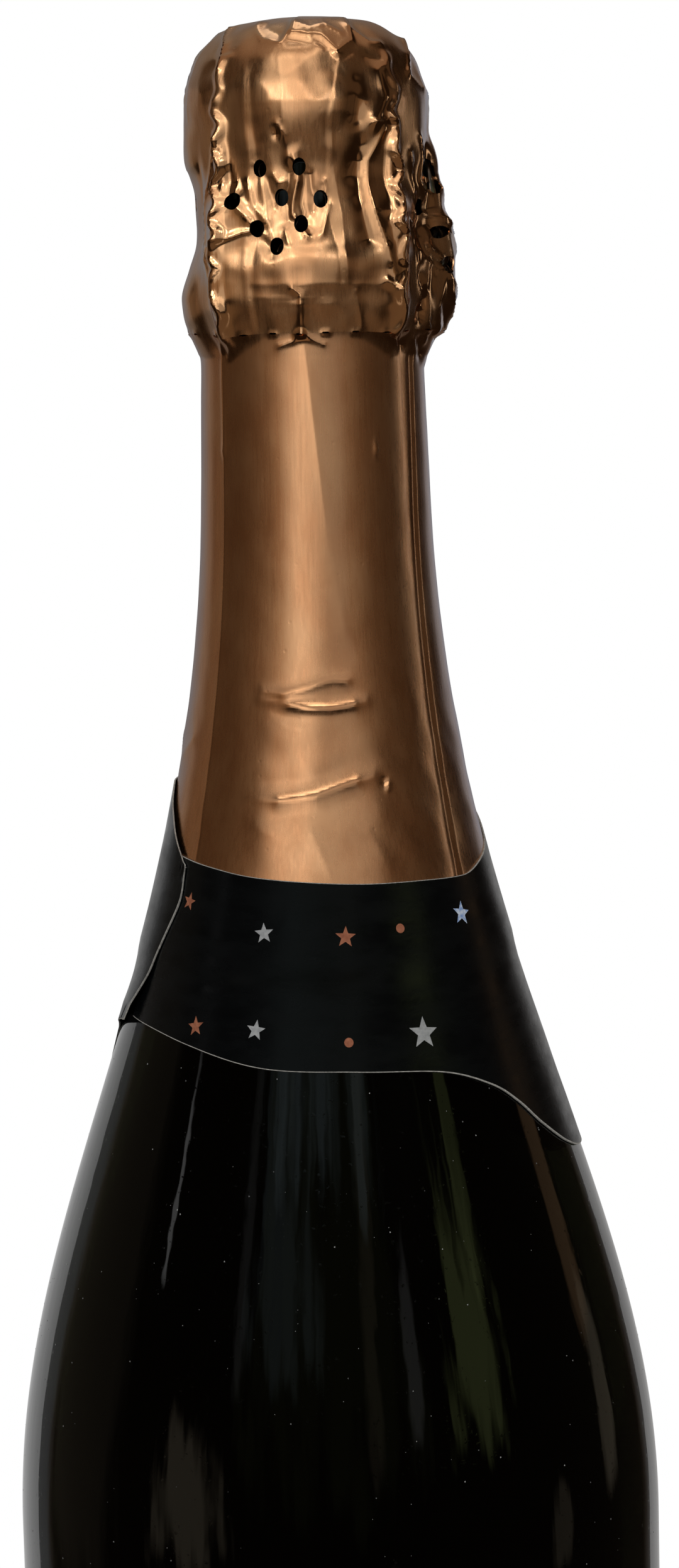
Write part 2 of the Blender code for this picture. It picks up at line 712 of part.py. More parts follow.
def vent_cutter():
    """Radial prisms through the foil, in a group of rows on each side of the hood."""
    bm = bmesh.new()
    length = HOOD_RADIUS + 2 * OVERRUN - BORE_RADIUS
    middle = BORE_RADIUS + length / 2
    middle_height = GLASS_HEIGHT - VENT_DROP
    middle_row = VENT_ROW_COUNTS.index(max(VENT_ROW_COUNTS))
    for group in range(VENT_GROUPS):
        for row, count in enumerate(VENT_ROW_COUNTS):
            for place_in_row in range(count):
                across = (place_in_row - (count - 1) / 2) * VENT_SIDE_PITCH
                azimuth = VENT_AZIMUTH + group * 360 / VENT_GROUPS
                azimuth += math.degrees(across / WAIST_RADIUS)
                height = middle_height + (row - middle_row) * VENT_ROW_PITCH
                made = bmesh.ops.create_cone(
                    bm, cap_ends=True, segments=VENT_SIDES,
                    radius1=VENT_RADIUS, radius2=VENT_RADIUS, depth=length,
                )
                facing = place(1, azimuth, 0).to_track_quat("Z", "Y")
                for vert in made["verts"]:
                    vert.co = facing @ vert.co + place(middle, azimuth, height)
    cutter = mesh_object("vent_cutter", bm, material("cutter", (1, 0, 0), 1))
    cutter.hide_render = True
    cutter.display_type = "WIRE"
    return cutter


def foil_sleeve(look):
    """The part of the foil that lines the neck, below the tear line."""
    flare = TEAR_HEIGHT - SLEEVE_FLARE
    curve = [p for p in shoulder(0, SHOULDER_STEPS) if p[1] > SLEEVE_BOTTOM + GAP]
    inner = [(skin_radius(SLEEVE_BOTTOM), SLEEVE_BOTTOM)] + curve
    inner.append((neck_radius(flare), flare))
    inner = [(r + SKIN_GAP, h) for r, h in inner]
    inner.append((RIM_RADIUS - FOIL, TEAR_HEIGHT))
    outer = [(r + FOIL, h) for r, h in inner]
    return turned("foil_sleeve", outer[::-1] + inner, look, closed=True)


# Labels


def ease(value, start, end):
    """A smooth step from 0 at the start to 1 at the end."""
    share = min(1.0, max(0.0, (value - start) / (end - start)))
    return share * share * (3 - 2 * share)


def neck_label(look):
    """A strap across the side that the photograph shows, which widens into a panel round the
    back; the panel's end laps over the strap's end."""
    start = LABEL_END_AZIMUTH - LABEL_LAP
    sweep = 360 + LABEL_LAP

    def edges(azimuth):
        side = (azimuth / PANEL_START) ** 2 if abs(azimuth) < 2 * PANEL_START else 0
        panel = ease(azimuth, PANEL_START, PANEL_FULL)
        upper = ease(azimuth, PANEL_TOP_START, PANEL_TOP_FULL)
        sag = STRAP_SAG * min(1, side) * (azimuth < 0)
        low = STRAP_TOP - STRAP_WIDTH + sag * (1 - panel) - PANEL_DROP * panel
        high = STRAP_TOP + sag * (1 - upper) + PANEL_RISE * upper
        return low, high

    def point(across, up):
        azimuth = start + sweep * across
        low, high = edges(azimuth)
        height = low + (high - low) * up
        curl = LABEL_END_SWEEP * (2 * up - 1) ** 2 * ease(azimuth, 360 + start - LABEL_LAP, start + sweep)
        over_foil = ease(height, SLEEVE_BOTTOM - LABEL_STEP, SLEEVE_BOTTOM)
        radius = skin_radius(height) + SKIN_GAP + (FOIL + SKIN_GAP) * over_foil
        lap = ease(azimuth, 360 + start - LABEL_LAP, 360 + start)
        radius += (LABEL + LABEL_LIFT) * lap
        return place(radius, azimuth - curl, height)

    return sheet("neck_label", LABEL_COLUMNS, LABEL_ROWS, point, LABEL, look)


def body_label(name, width, height, azimuth, look):
    """A rectangular label on the straight side, clear of the glass's facets."""
    radius = BODY_RADIUS + SKIN_GAP

    def point(across, up):
        turn = math.degrees((across - 0.5) * width / radius)
        return place(radius, azimuth + turn, HEEL_RISE + BODY_LABEL_RISE + height * up)

    return sheet(name, BODY_LABEL_COLUMNS, 1, point, LABEL, look)


def main():
    clear_scene()
    glass_bottle()
    wine()
    steel = material("cage_steel", (0.62, 0.60, 0.57), 0.3, 1.0)
    foil = material("copper_foil", (0.62, 0.33, 0.19), 0.3, 1.0)
    black = material("label_paper", (0.012, 0.014, 0.018), 0.35)
    cork = [cork_trunk(), cork_disc("cork_disc_upper", 1), cork_disc("cork_disc_lower", 0)]
    cage = [plaque(), cage_wire(steel), cage_belt(steel), cage_tab(steel)]
    hood = [foil_hood(foil)]
    foil_sleeve(foil)
    neck_label(black)
    body_label("front_label", FRONT_LABEL_WIDTH, FRONT_LABEL_HEIGHT, FRONT_LABEL_AZIMUTH, black)
    body_label("back_label", BACK_LABEL_WIDTH, BACK_LABEL_HEIGHT, BACK_LABEL_AZIMUTH, black)
    carry("stopper_axis", GLASS_HEIGHT, cork)
    carry("cage_axis", GLASS_HEIGHT, cage)
    carry("hood_axis", GLASS_HEIGHT, hood)


main()
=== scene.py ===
import json
import math
import bpy
from mathutils import Matrix
import numpy as np

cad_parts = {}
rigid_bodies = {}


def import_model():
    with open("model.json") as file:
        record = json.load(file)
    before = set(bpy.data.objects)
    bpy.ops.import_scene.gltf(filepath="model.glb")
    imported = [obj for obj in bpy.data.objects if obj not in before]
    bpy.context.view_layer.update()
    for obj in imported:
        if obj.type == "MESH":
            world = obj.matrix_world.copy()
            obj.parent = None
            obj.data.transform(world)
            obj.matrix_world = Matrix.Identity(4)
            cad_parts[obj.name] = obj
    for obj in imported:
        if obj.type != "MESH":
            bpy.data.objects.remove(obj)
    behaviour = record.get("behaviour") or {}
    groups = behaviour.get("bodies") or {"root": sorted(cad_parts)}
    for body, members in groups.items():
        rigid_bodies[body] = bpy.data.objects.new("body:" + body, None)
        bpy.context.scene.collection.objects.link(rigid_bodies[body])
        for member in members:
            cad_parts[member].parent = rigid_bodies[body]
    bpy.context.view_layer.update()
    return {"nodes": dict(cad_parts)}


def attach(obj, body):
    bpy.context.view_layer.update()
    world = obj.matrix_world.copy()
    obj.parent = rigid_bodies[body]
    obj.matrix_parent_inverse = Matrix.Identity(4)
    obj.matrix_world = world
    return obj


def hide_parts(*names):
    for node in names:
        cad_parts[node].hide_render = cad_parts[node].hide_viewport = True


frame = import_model()
print("frame loaded:", len(frame["nodes"]), "nodes")

mm = 0.001  # every table below is in millimetres and degrees, and meshes are written in metres
scene = bpy.context.scene

# shapes on grids


def around(radius, azimuth, height):
    # radius x (sin azimuth, -cos azimuth), height: azimuth runs from the front (-Y) to the right (+X)
    turn = np.radians(azimuth)
    return np.stack(np.broadcast_arrays(radius * np.sin(turn), -radius * np.cos(turn), height), axis=-1)


def gridQuads(rows, columns, wrapColumns=True, wrapRows=False):
    # corner (row, column), then its right, upper right and upper neighbours; a wrapped side meets its start
    row = np.arange(rows if wrapRows else rows - 1)[:, None]
    column = np.arange(columns if wrapColumns else columns - 1)[None, :]
    above, beside = (row + 1) % rows, (column + 1) % columns
    quads = [row * columns + column, row * columns + beside, above * columns + beside, above * columns + column]
    return np.stack(quads, axis=-1).reshape(-1, 4)


def capFan(ring, pole):
    # a triangle from each side of the ring to the pole
    return np.stack([ring, np.roll(ring, -1), np.full(len(ring), pole)], axis=-1)


def makePiece(name, spots, faces, looks, crisp=40.0, layout=None):
    # vertices in millimetres become metres; edges past the crisp angle stay sharp, and at 180 only open rims do
    mesh = bpy.data.meshes.new(name)
    polygons = [row for block in faces for row in block.tolist()]
    mesh.from_pydata((spots * mm).tolist(), [], polygons)
    if layout is not None:
        corners = np.concatenate([block.reshape(-1) for block in faces])
        mesh.uv_layers.new(name="UVMap").data.foreach_set("uv", layout[corners].astype(np.float32).ravel())
    mesh.shade_smooth()
    if crisp < 180:
        mesh.set_sharp_from_angle(angle=math.radians(crisp))
    else:
        edges = np.zeros(len(mesh.loops), np.int32)
        mesh.loops.foreach_get("edge_index", edges)
        rim = np.bincount(edges, minlength=len(mesh.edges)) == 1
        mesh.attributes.new("sharp_edge", "BOOLEAN", "EDGE").data.foreach_set("value", rim)
    for look in looks:
        mesh.materials.append(look)
    piece = bpy.data.objects.new(name, mesh)
    scene.collection.objects.link(piece)
    return piece


def turnedPiece(name, outline, columns, look, crisp=40.0, reshape=None):
    # the (radius, height) outline carried round the axis, up on its outer side; an end on the axis is a pole
    outline = np.asarray(outline, float)
    first, last = outline[0, 0] < 1e-6, outline[-1, 0] < 1e-6
    rings = outline[int(first): len(outline) - int(last)]
    azimuths = np.arange(columns) * 360.0 / columns
    radii = np.repeat(rings[:, :1], columns, axis=1)
    if reshape:
        radii = reshape(radii, azimuths[None, :], rings[:, 1:])
    spots = around(radii, azimuths[None, :], rings[:, 1:]).reshape(-1, 3)
    faces = [gridQuads(len(rings), columns, wrapRows=not (first or last))]
    if first:
        faces.append(capFan(np.arange(columns), len(spots))[:, ::-1])
        spots = np.vstack([spots, [0, 0, outline[0, 1]]])
    if last:
        faces.append(capFan(np.arange(columns) + (len(rings) - 1) * columns, len(spots)))
        spots = np.vstack([spots, [0, 0, outline[-1, 1]]])
    return makePiece(name, spots, faces, [look], crisp)


def arcPoints(centre, radii, start, end, steps):
    # centre + radii x (cos, sin) of the angle from start to end
    turn = np.radians(np.linspace(start, end, steps + 1))
    return np.c_[centre[0] + radii[0] * np.cos(turn), centre[1] + radii[1] * np.sin(turn)]


def smoothCurve(knots, steps, perSpan=24):
    # Catmull-Rom through the knots, perSpan points to a span, then points at equal lengths along it
    knots = np.asarray(knots, float)
    padded = np.vstack([2 * knots[0] - knots[1], knots, 2 * knots[-1] - knots[-2]])
    share = (np.arange(perSpan) / perSpan)[None, :, None]
    a, b, c, d = (padded[i: len(padded) - 3 + i, None] for i in range(4))
    curve = 0.5 * (2 * b + (c - a) * share + (2 * a - 5 * b + 4 * c - d) * share**2
                   + (3 * b - a - 3 * c + d) * share**3)
    curve = np.vstack([curve.reshape(-1, knots.shape[1]), knots[-1]])
    lengths = np.r_[0, np.cumsum(np.linalg.norm(np.diff(curve, axis=0), axis=1))]
    along = np.linspace(0, lengths[-1], steps + 1)
    return np.stack([np.interp(along, lengths, curve[:, k]) for k in range(knots.shape[1])], axis=-1)


def throughKnots(value, table, steps=400, **ends):
    # a smooth curve through the table's knots, read at the value
    curve = smoothCurve(table, steps)
    return np.interp(value, curve[:, 0], curve[:, 1], **ends)


def squareTo(line):
    # the unit tangent (a, b) of a (radius, height) line; (-b, a) is square to it
    slope = np.gradient(line, axis=0)
    return slope / np.linalg.norm(slope, axis=1)[:, None]


def besideLine(line, azimuth, lift, aside):
    # line + lift square to it in its own plane + aside across that plane
    slope = squareTo(line)
    inPlane = around(line[:, 0] - lift * slope[:, 1], azimuth, line[:, 1] + lift * slope[:, 0])
    return inPlane + around(1, azimuth + 90, 0) * aside[:, None]


def tubePiece(name, path, radius, look, aside, closed=False, sides=10, crisp=60):
    # a circle carried along the path, square to it; aside is any direction that the path never takes
    path = np.asarray(path, float)
    if closed:
        tangent = np.roll(path, -1, axis=0) - np.roll(path, 1, axis=0)
    else:
        tangent = np.gradient(path, axis=0)
    tangent /= np.linalg.norm(tangent, axis=1)[:, None]
    across = np.cross(tangent, np.broadcast_to(aside, path.shape))
    across /= np.linalg.norm(across, axis=1)[:, None]
    outward = np.cross(across, tangent)
    turn = np.arange(sides) * math.tau / sides
    ring = np.cos(turn)[None, :, None] * across[:, None] + np.sin(turn)[None, :, None] * outward[:, None]
    spots = (path[:, None] + radius * ring).reshape(-1, 3)
    faces = [gridQuads(len(path), sides, wrapRows=closed)[:, ::-1]]
    if not closed:
        faces.append(capFan(np.arange(sides), len(spots)))
        faces.append(capFan(np.arange(sides) + (len(path) - 1) * sides, len(spots) + 1)[:, ::-1])
        spots = np.vstack([spots, path[0], path[-1]])
    return makePiece(name, spots, faces, [look], crisp)


def smoothStep(value, start, end):
    # 3s^2 - 2s^3 of the share s from start to end
    share = np.clip((value - start) / (end - start), 0, 1)
    return share * share * (3 - 2 * share)


def smoothFall(value, full, end):
    # 1 up to full, and eased to 0 at end
    return smoothStep(-value, -end, -full)


def band(value, start, full, fade, end):
    # 1 from full to fade, and eased to 0 at start and end
    return smoothStep(value, start, full) * smoothFall(value, fade, end)


def awayFrom(azimuth, middle):
    # degrees from the middle, from -180 to 180
    return (azimuth - middle + 180) % 360 - 180


def waves(spots, wavelength, seed, count=16):
    # a sum of cosines of that wavelength in random directions and phases, about 1 high
    draw = np.random.default_rng(seed)
    direction = draw.normal(size=(count, 3))
    direction /= np.linalg.norm(direction, axis=1)[:, None]
    phase = draw.uniform(0, math.tau, count)
    total = np.zeros(spots.shape[:-1])
    for way, start in zip(direction, phase):
        total += np.cos(spots @ way * math.tau / wavelength + start)
    return total / math.sqrt(count / 2)


def dents(spots, spacing, seed, low, high, full=0.7):
    # squared distance to the nearest of many scattered points, 1 from the full share of the spacing on:
    # shallow bowls that meet in sharp ridges
    draw = np.random.default_rng(seed)
    reach = np.abs(spots.reshape(-1, 3)[:, :2]).max()
    count = int(math.tau * reach * (high - low) / spacing**2)
    middles = around(reach, draw.uniform(0, 360, count), draw.uniform(low, high, count))
    best = np.full(spots.shape[:-1], 1e9)
    for middle in middles:
        best = np.minimum(best, ((spots - middle) ** 2).sum(axis=-1))
    return np.minimum(best / (spacing * full) ** 2, 1.0)


def lineDistance(azimuth, height, radius, points):
    # the shortest distance on the unrolled skin to a line through (azimuth, height) points
    best = np.full(azimuth.shape, 1e9)
    points = points if len(points) > 1 else points * 2
    for (startAzimuth, startHeight), (endAzimuth, endHeight) in zip(points, points[1:]):
        x = np.radians(awayFrom(azimuth, startAzimuth)) * radius
        y = height - startHeight
        runX, runY = np.radians(endAzimuth - startAzimuth) * radius, endHeight - startHeight
        share = np.clip((x * runX + y * runY) / (runX**2 + runY**2 + 1e-9), 0, 1)
        best = np.minimum(best, np.hypot(x - share * runX, y - share * runY))
    return best


def creases(azimuth, height, radius, table):
    # for each (rise, width, power, points): rise x exp(-(distance / width)^power); power 1 is a sharp fold
    total = np.zeros(azimuth.shape)
    for rise, width, power, points in table:
        total += rise * np.exp(-(lineDistance(azimuth, height, radius, points) / width) ** power)
    return total


def standOn(piece, body, node=None):
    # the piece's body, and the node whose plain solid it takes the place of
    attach(piece, body)
    if node:
        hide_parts(node)
    return piece


# materials


def nodeMaker(tree):
    # add() makes a node, and links or sets each of its inputs
    def add(kind, inputs=None, **settings):
        node = tree.nodes.new("ShaderNode" + kind)
        for key, value in settings.items():
            setattr(node, key, value)
        for socket, value in (inputs or {}).items():
            if isinstance(value, bpy.types.NodeSocket):
                tree.links.new(value, node.inputs[socket])
            else:
                node.inputs[socket].default_value = value
        return node

    return add


def newLook(name, constants):
    # a Principled material; add() makes its nodes, and join() links a socket into the shader
    look = bpy.data.materials.new(name)
    look.use_nodes = True
    shader = look.node_tree.nodes["Principled BSDF"]
    for socket, value in constants.items():
        shader.inputs[socket].default_value = value

    def join(source, socket):
        look.node_tree.links.new(source, shader.inputs[socket])

    return look, nodeMaker(look.node_tree), join


def stretched(add, scale=(1, 1, 1)):
    # the piece's own coordinates, scaled along each axis
    return add("Mapping", {"Vector": add("TexCoord").outputs["Object"], "Scale": scale}).outputs[0]


def noise(add, vector, scale, detail=3.0):
    # a cloudy pattern about 0.5, with scale clouds to the metre
    return add("TexNoise", {"Vector": vector, "Scale": scale, "Detail": detail, "Roughness": 0.55}).outputs[0]


def spread(add, value, low, high, fromLow=0.3, fromHigh=0.7):
    # maps a pattern's middle range onto low to high
    return add("MapRange", {"Value": value, "From Min": fromLow, "From Max": fromHigh,
                            "To Min": low, "To Max": high}).outputs[0]


def ramp(add, value, stops):
    # colour stops (place, colour) along the value
    node = add("ValToRGB", {"Fac": value})
    elements = node.color_ramp.elements
    while len(elements) < len(stops):
        elements.new(0.5)
    for element, (place, colour) in zip(elements, stops):
        element.position = place
        element.color = (*colour, 1.0)
    return node.outputs[0]


def calculate(add, operation, first, second):
    # one sum or product of two sockets or numbers
    return add("Math", {0: first, 1: second}, operation=operation).outputs[0]


def overColour(add, share, below, tones):
    # (1 - share) x the colour below + share x the tones
    return add("Mix", {0: share, 6: (*below, 1.0), 7: tones}, data_type="RGBA").outputs[2]


def bumps(add, join, layers):
    # each (pattern, depth in millimetres) roughens the one before
    normal = None
    for pattern, depth in layers:
        inputs = {"Height": pattern, "Strength": 1.0, "Distance": depth * mm}
        if normal:
            inputs["Normal"] = normal
        normal = add("Bump", inputs).outputs[0]
    join(normal, "Normal")


foilFinish = {
    "hood": {"light": (0.82, 0.465, 0.228), "deep": (0.70, 0.355, 0.162), "grainDepth": 0.008},
    "sleeve": {"light": (0.82, 0.443, 0.217), "deep": (0.70, 0.336, 0.152), "grainDepth": 0.006},
    "coat": 0.25, "coatRough": 0.12, "shine": (0.22, 0.30), "mottleShine": (0, 0.04), "polished": 0.42,
    # each pattern's scale and detail; "Tall" is the share of the scale upwards, so under 1 draws it out
    "grain": (2600, 4), "grainTall": 0.06, "mottle": (220, 5), "mottleTall": 0.5, "pitScale": 420.0,
    "pitFrom": (0.03, 0.12), "toneFrom": (0.32, 0.68), "mottleDepth": 0.01, "pitDepth": 0.008,
}


def copperFoil(part):
    # lacquered aluminium: a vertical drawn grain, soft mottling and tiny pits; folds are polished
    f, own = foilFinish, foilFinish[part]
    look, add, join = newLook(part + "Foil", {
        "Metallic": 1.0, "Coat Weight": f["coat"], "Coat Roughness": f["coatRough"]})
    grain = noise(add, stretched(add, (1, 1, f["grainTall"])), *f["grain"])
    mottle = noise(add, stretched(add, (1, 1, f["mottleTall"])), *f["mottle"])
    pits = add("TexVoronoi", {"Vector": stretched(add), "Scale": f["pitScale"]}).outputs[0]
    pits = spread(add, pits, 0, 1, *f["pitFrom"])
    join(ramp(add, mottle, list(zip(f["toneFrom"], (own["deep"], own["light"])))), "Base Color")
    rough = calculate(add, "ADD", spread(add, grain, *f["shine"]), spread(add, mottle, *f["mottleShine"]))
    polish = add("Attribute", attribute_name="polish").outputs["Fac"]
    join(calculate(add, "MULTIPLY", rough, spread(add, polish, 1.0, f["polished"], 0, 1)), "Roughness")
    bumps(add, join, [(grain, own["grainDepth"]), (mottle, f["mottleDepth"]), (pits, f["pitDepth"])])
    return look


glassFinish = {
    "tint": (0.0016, 0.002, 0.0008), "gloss": 0.42,
    # each pattern's scale and detail; "Tall" is the share of the scale upwards, so under 1 draws it out
    "film": (90, 4), "filmTall": 0.15, "dust": (1400, 2), "streaks": (160, 3), "streaksTall": 0.02,
    "filmRough": (0.02, 0.05), "dustRough": (0, 0.16), "dustFrom": (0.66, 0.74),
    "streakDepth": 0.05, "dustDepth": 0.02,
}


def darkGlass():
    # nearly black green-brown bottle glass, with faint vertical mould streaks, a thin film and dusty spots
    g = glassFinish
    look, add, join = newLook("darkGlass", {
        "Base Color": (*g["tint"], 1), "Transmission Weight": 1.0, "IOR": 1.5, "Specular IOR Level": g["gloss"]})
    film = noise(add, stretched(add, (1, 1, g["filmTall"])), *g["film"])
    dust = spread(add, noise(add, stretched(add), *g["dust"]), *g["dustRough"], *g["dustFrom"])
    join(calculate(add, "ADD", spread(add, film, *g["filmRough"]), dust), "Roughness")
    streaks = noise(add, stretched(add, (1, 1, g["streaksTall"])), *g["streaks"])
    bumps(add, join, [(streaks, g["streakDepth"]), (dust, g["dustDepth"])])
    return look


# one cloudy pattern each: shader values, the pattern's scale and detail, the colours at two places along it,
# and, where they are given, the roughness across it and its depth as bumps
plainLooks = {
    "clearWine": ({"Transmission Weight": 1.0, "IOR": 1.34, "Roughness": 0.0}, (25, 2),
                  [(0.3, (0.80, 0.68, 0.32)), (0.7, (0.84, 0.73, 0.38))]),
    "paperEdge": ({"Roughness": 0.85}, (2500, 3), [(0.3, (0.20, 0.19, 0.17)), (0.7, (0.42, 0.40, 0.36))]),
    "paleDust": ({"Roughness": 0.9, "Specular IOR Level": 0.2}, (300, 2),
                 [(0.35, (0.08, 0.08, 0.08)), (0.7, (0.5, 0.5, 0.48))]),
    "copperPrint": ({"Metallic": 0.35}, (1800, 4), [(0.35, (0.34, 0.11, 0.055)), (0.65, (0.50, 0.19, 0.10))],
                    (0.45, 0.65), 0.006),
    "silverPrint": ({"Metallic": 0.5}, (1800, 4), [(0.35, (0.44, 0.45, 0.46)), (0.65, (0.62, 0.63, 0.63))],
                    (0.4, 0.6), 0.006),
    "blueSilverPrint": ({"Metallic": 0.35}, (1800, 4), [(0.35, (0.26, 0.42, 0.78)), (0.65, (0.78, 0.86, 0.98))],
                        (0.3, 0.5), 0.006),
    "cageSteel": ({"Metallic": 1.0}, (900, 4), [(0.3, (0.50, 0.48, 0.45)), (0.7, (0.66, 0.64, 0.60))],
                  (0.26, 0.42), 0.01),
    "plaqueTin": ({"Metallic": 1.0}, (900, 4), [(0.3, (0.52, 0.26, 0.15)), (0.7, (0.66, 0.36, 0.22))],
                  (0.26, 0.42), 0.01),
}


def plainLook(name):
    # the look that the table's row describes
    constants, pattern, stops, *surface = plainLooks[name]
    look, add, join = newLook(name, constants)
    cloud = noise(add, stretched(add), *pattern)
    join(ramp(add, cloud, stops), "Base Color")
    if surface:
        rough, depth = surface
        join(spread(add, cloud, *rough), "Roughness")
        bumps(add, join, [(cloud, depth)])
    return look


paperFinish = {
    "gloss": 0.42, "fibre": (1500, 4), "rub": (160, 5), "rubTall": 2.5, "rough": (0.2, 0.34),
    "tones": [(0.35, (0.0014, 0.0019, 0.0022)), (0.75, (0.0028, 0.0038, 0.0044))],
    "fibreDepth": 0.012, "rubDepth": 0.05,
}


def blackPaper():
    # satin black coated paper: fine fibres, faint rub marks
    p = paperFinish
    look, add, join = newLook("labelPaper", {"Specular IOR Level": p["gloss"]})
    fibre = noise(add, stretched(add), *p["fibre"])
    rub = noise(add, stretched(add, (1, 1, p["rubTall"])), *p["rub"])
    join(ramp(add, rub, p["tones"]), "Base Color")
    join(spread(add, rub, *p["rough"]), "Roughness")
    bumps(add, join, [(fibre, p["fibreDepth"]), (rub, p["rubDepth"])])
    return look


corkFinish = {
    "rough": 0.85, "gloss": 0.3, "granules": 520.0, "cloud": (900, 2), "cloudTone": 0.12,
    "tones": [(0.0, (0.30, 0.165, 0.075)), (0.3, (0.52, 0.34, 0.18)), (0.75, (0.66, 0.47, 0.28)),
              (1.0, (0.74, 0.58, 0.38))],
    "gap": 0.09, "gapTone": (0.20, 0.11, 0.05), "gapDepth": 0.09, "cloudDepth": 0.05,
}


def pressedCork():
    # granules of cork glued together: a cell for each, its tone, and dark gaps
    c = corkFinish
    look, add, join = newLook("pressedCork", {"Roughness": c["rough"], "Specular IOR Level": c["gloss"]})
    place = stretched(add)
    cloud = noise(add, place, *c["cloud"])
    cell = {"Vector": place, "Scale": c["granules"]}
    cells = add("TexVoronoi", cell)
    edges = add("TexVoronoi", cell, feature="DISTANCE_TO_EDGE").outputs[0]
    tone = calculate(add, "ADD", add("SeparateColor", {"Color": cells.outputs[1]}).outputs[0],
                     spread(add, cloud, -c["cloudTone"], c["cloudTone"]))
    gap = spread(add, edges, 0, 1, 0.0, c["gap"])
    join(overColour(add, gap, c["gapTone"], ramp(add, tone, c["tones"])), "Base Color")
    bumps(add, join, [(gap, c["gapDepth"]), (cloud, c["cloudDepth"])])
    return look


woodFinish = {
    "rough": 0.8, "gloss": 0.3, "growth": (500, 4), "growthStretch": (1, 0.15, 0.6),
    "pores": (800, 3), "poreStretch": (1, 0.4, 1), "poreFrom": (0.30, 0.40), "poreTone": (0.22, 0.12, 0.06),
    "tones": [(0.3, (0.56, 0.38, 0.21)), (0.7, (0.74, 0.57, 0.36))], "poreDepth": 0.08, "growthDepth": 0.04,
}


def naturalCork():
    # cork wood with growth bands and small dark pores
    w = woodFinish
    look, add, join = newLook("naturalCork", {"Roughness": w["rough"], "Specular IOR Level": w["gloss"]})
    growth = noise(add, stretched(add, w["growthStretch"]), *w["growth"])
    pore = spread(add, noise(add, stretched(add, w["poreStretch"]), *w["pores"]), 0, 1, *w["poreFrom"])
    join(overColour(add, pore, w["poreTone"], ramp(add, growth, w["tones"])), "Base Color")
    bumps(add, join, [(pore, w["poreDepth"]), (growth, w["growthDepth"])])
    return look


hoodFoil, sleeveFoil = copperFoil("hood"), copperFoil("sleeve")
glassLook, labelPaper = darkGlass(), blackPaper()
corkGranules, corkWood = pressedCork(), naturalCork()
plain = {name: plainLook(name) for name in plainLooks}
print("materials made")

# glass and wine

glassShape = {
    "body": 44.2, "ringEdge": 35.5, "ringInner": 32.5, "heelRise": 10.0, "punt": 33.0,
    "puntGlass": 7.5, "footGlass": 6.5, "wall": 4.9, "height": 300.0, "neck": 14.97, "neckStart": 254.8,
    "bodyTop": 114.4, "bodyPull": 44.3, "neckPull": 63.2, "taper": 0.03, "grooveLow": 279.0,
    "grooveHigh": 283.2, "groove": 13.6, "grooveRound": 1.1, "grooveEdge": 0.3, "collar": 15.0,
    "collarTop": 287.6, "collarRound": 1.1, "finish": 14.3, "lipRound": 1.3, "bore": 8.75, "boreFloor": 273.0,
    "wineLevel": 221.0, "wineGap": 0.3, "wineStep": 0.2, "columns": 144, "wineColumns": 96, "crisp": 50,
}


def shoulderCurve(inset, steps):
    # cubic Bezier from the body's top up to the neck, moved in by the inset
    g = glassShape
    corners = np.array([(g["body"], g["bodyTop"]), (g["body"], g["bodyTop"] + g["bodyPull"]),
                        (g["neck"] + g["taper"] * g["neckPull"], g["neckStart"] - g["neckPull"]),
                        (g["neck"], g["neckStart"])])
    t = np.linspace(0, 1, steps + 1)[:, None]
    shares = np.hstack([(1 - t) ** 3, 3 * t * (1 - t) ** 2, 3 * t**2 * (1 - t), t**3])
    return shares @ corners - [inset, 0]


skinCurve = shoulderCurve(0, 400)


def glassRadius(height):
    # the shoulder's curve, then the neck's taper above it
    g = glassShape
    onNeck = g["neck"] - g["taper"] * (height - g["neckStart"])
    return np.where(height > g["neckStart"], onNeck, np.interp(height, skinCurve[:, 1], skinCurve[:, 0]))


def hollowOutline(inset):
    # down the shoulder and wall, round the trough, and over the punt to the axis
    g = glassShape
    rim = g["ringInner"] + g["puntGlass"] / 2
    trough = (g["body"] - g["wall"] - rim) / 2
    floor = g["footGlass"] + trough
    rise = g["punt"] + g["puntGlass"] - floor
    beside = arcPoints((rim + trough, floor), (trough - inset, trough - inset), 0, -180, 16)
    over = arcPoints((0, floor), (rim + inset, rise + inset), 0, 90, 24)
    return np.vstack([shoulderCurve(g["wall"] + inset, 60)[::-1], beside, over[1:]])


def buildGlass():
    # one outline: under the punt, round the heel, up the skin to the lip, and down inside
    g = glassShape
    lip = g["height"] - g["lipRound"]
    middle, rounded = g["collar"] - g["collarRound"], (g["collarRound"],) * 2
    lipRounds = (g["lipRound"],) * 2
    outline = [
        arcPoints((0, 0), (g["ringInner"], g["punt"]), 90, 0, 28),
        arcPoints((g["ringEdge"], g["heelRise"]), (g["body"] - g["ringEdge"], g["heelRise"]), -90, 0, 18),
        shoulderCurve(0, 70),
        [(float(glassRadius(g["grooveLow"])), g["grooveLow"]),
         (g["groove"], g["grooveLow"] + g["grooveRound"]),
         (g["groove"], g["grooveHigh"] - g["grooveEdge"]), (g["groove"] + g["grooveEdge"], g["grooveHigh"])],
        arcPoints((middle, g["grooveHigh"] + g["collarRound"]), rounded, -90, 0, 6),
        arcPoints((middle, g["collarTop"] - g["collarRound"]), rounded, 0, 60, 5),
        [(g["finish"], g["collarTop"])],
        arcPoints((g["finish"] - g["lipRound"], lip), lipRounds, 0, 90, 8),
        arcPoints((g["bore"] + g["lipRound"], lip), lipRounds, 90, 180, 8),
        [(g["bore"], g["boreFloor"])],
        hollowOutline(0),
    ]
    outline = np.vstack([np.asarray(part, float) for part in outline])
    return turnedPiece("bottleGlass", outline, g["columns"], glassLook, g["crisp"])


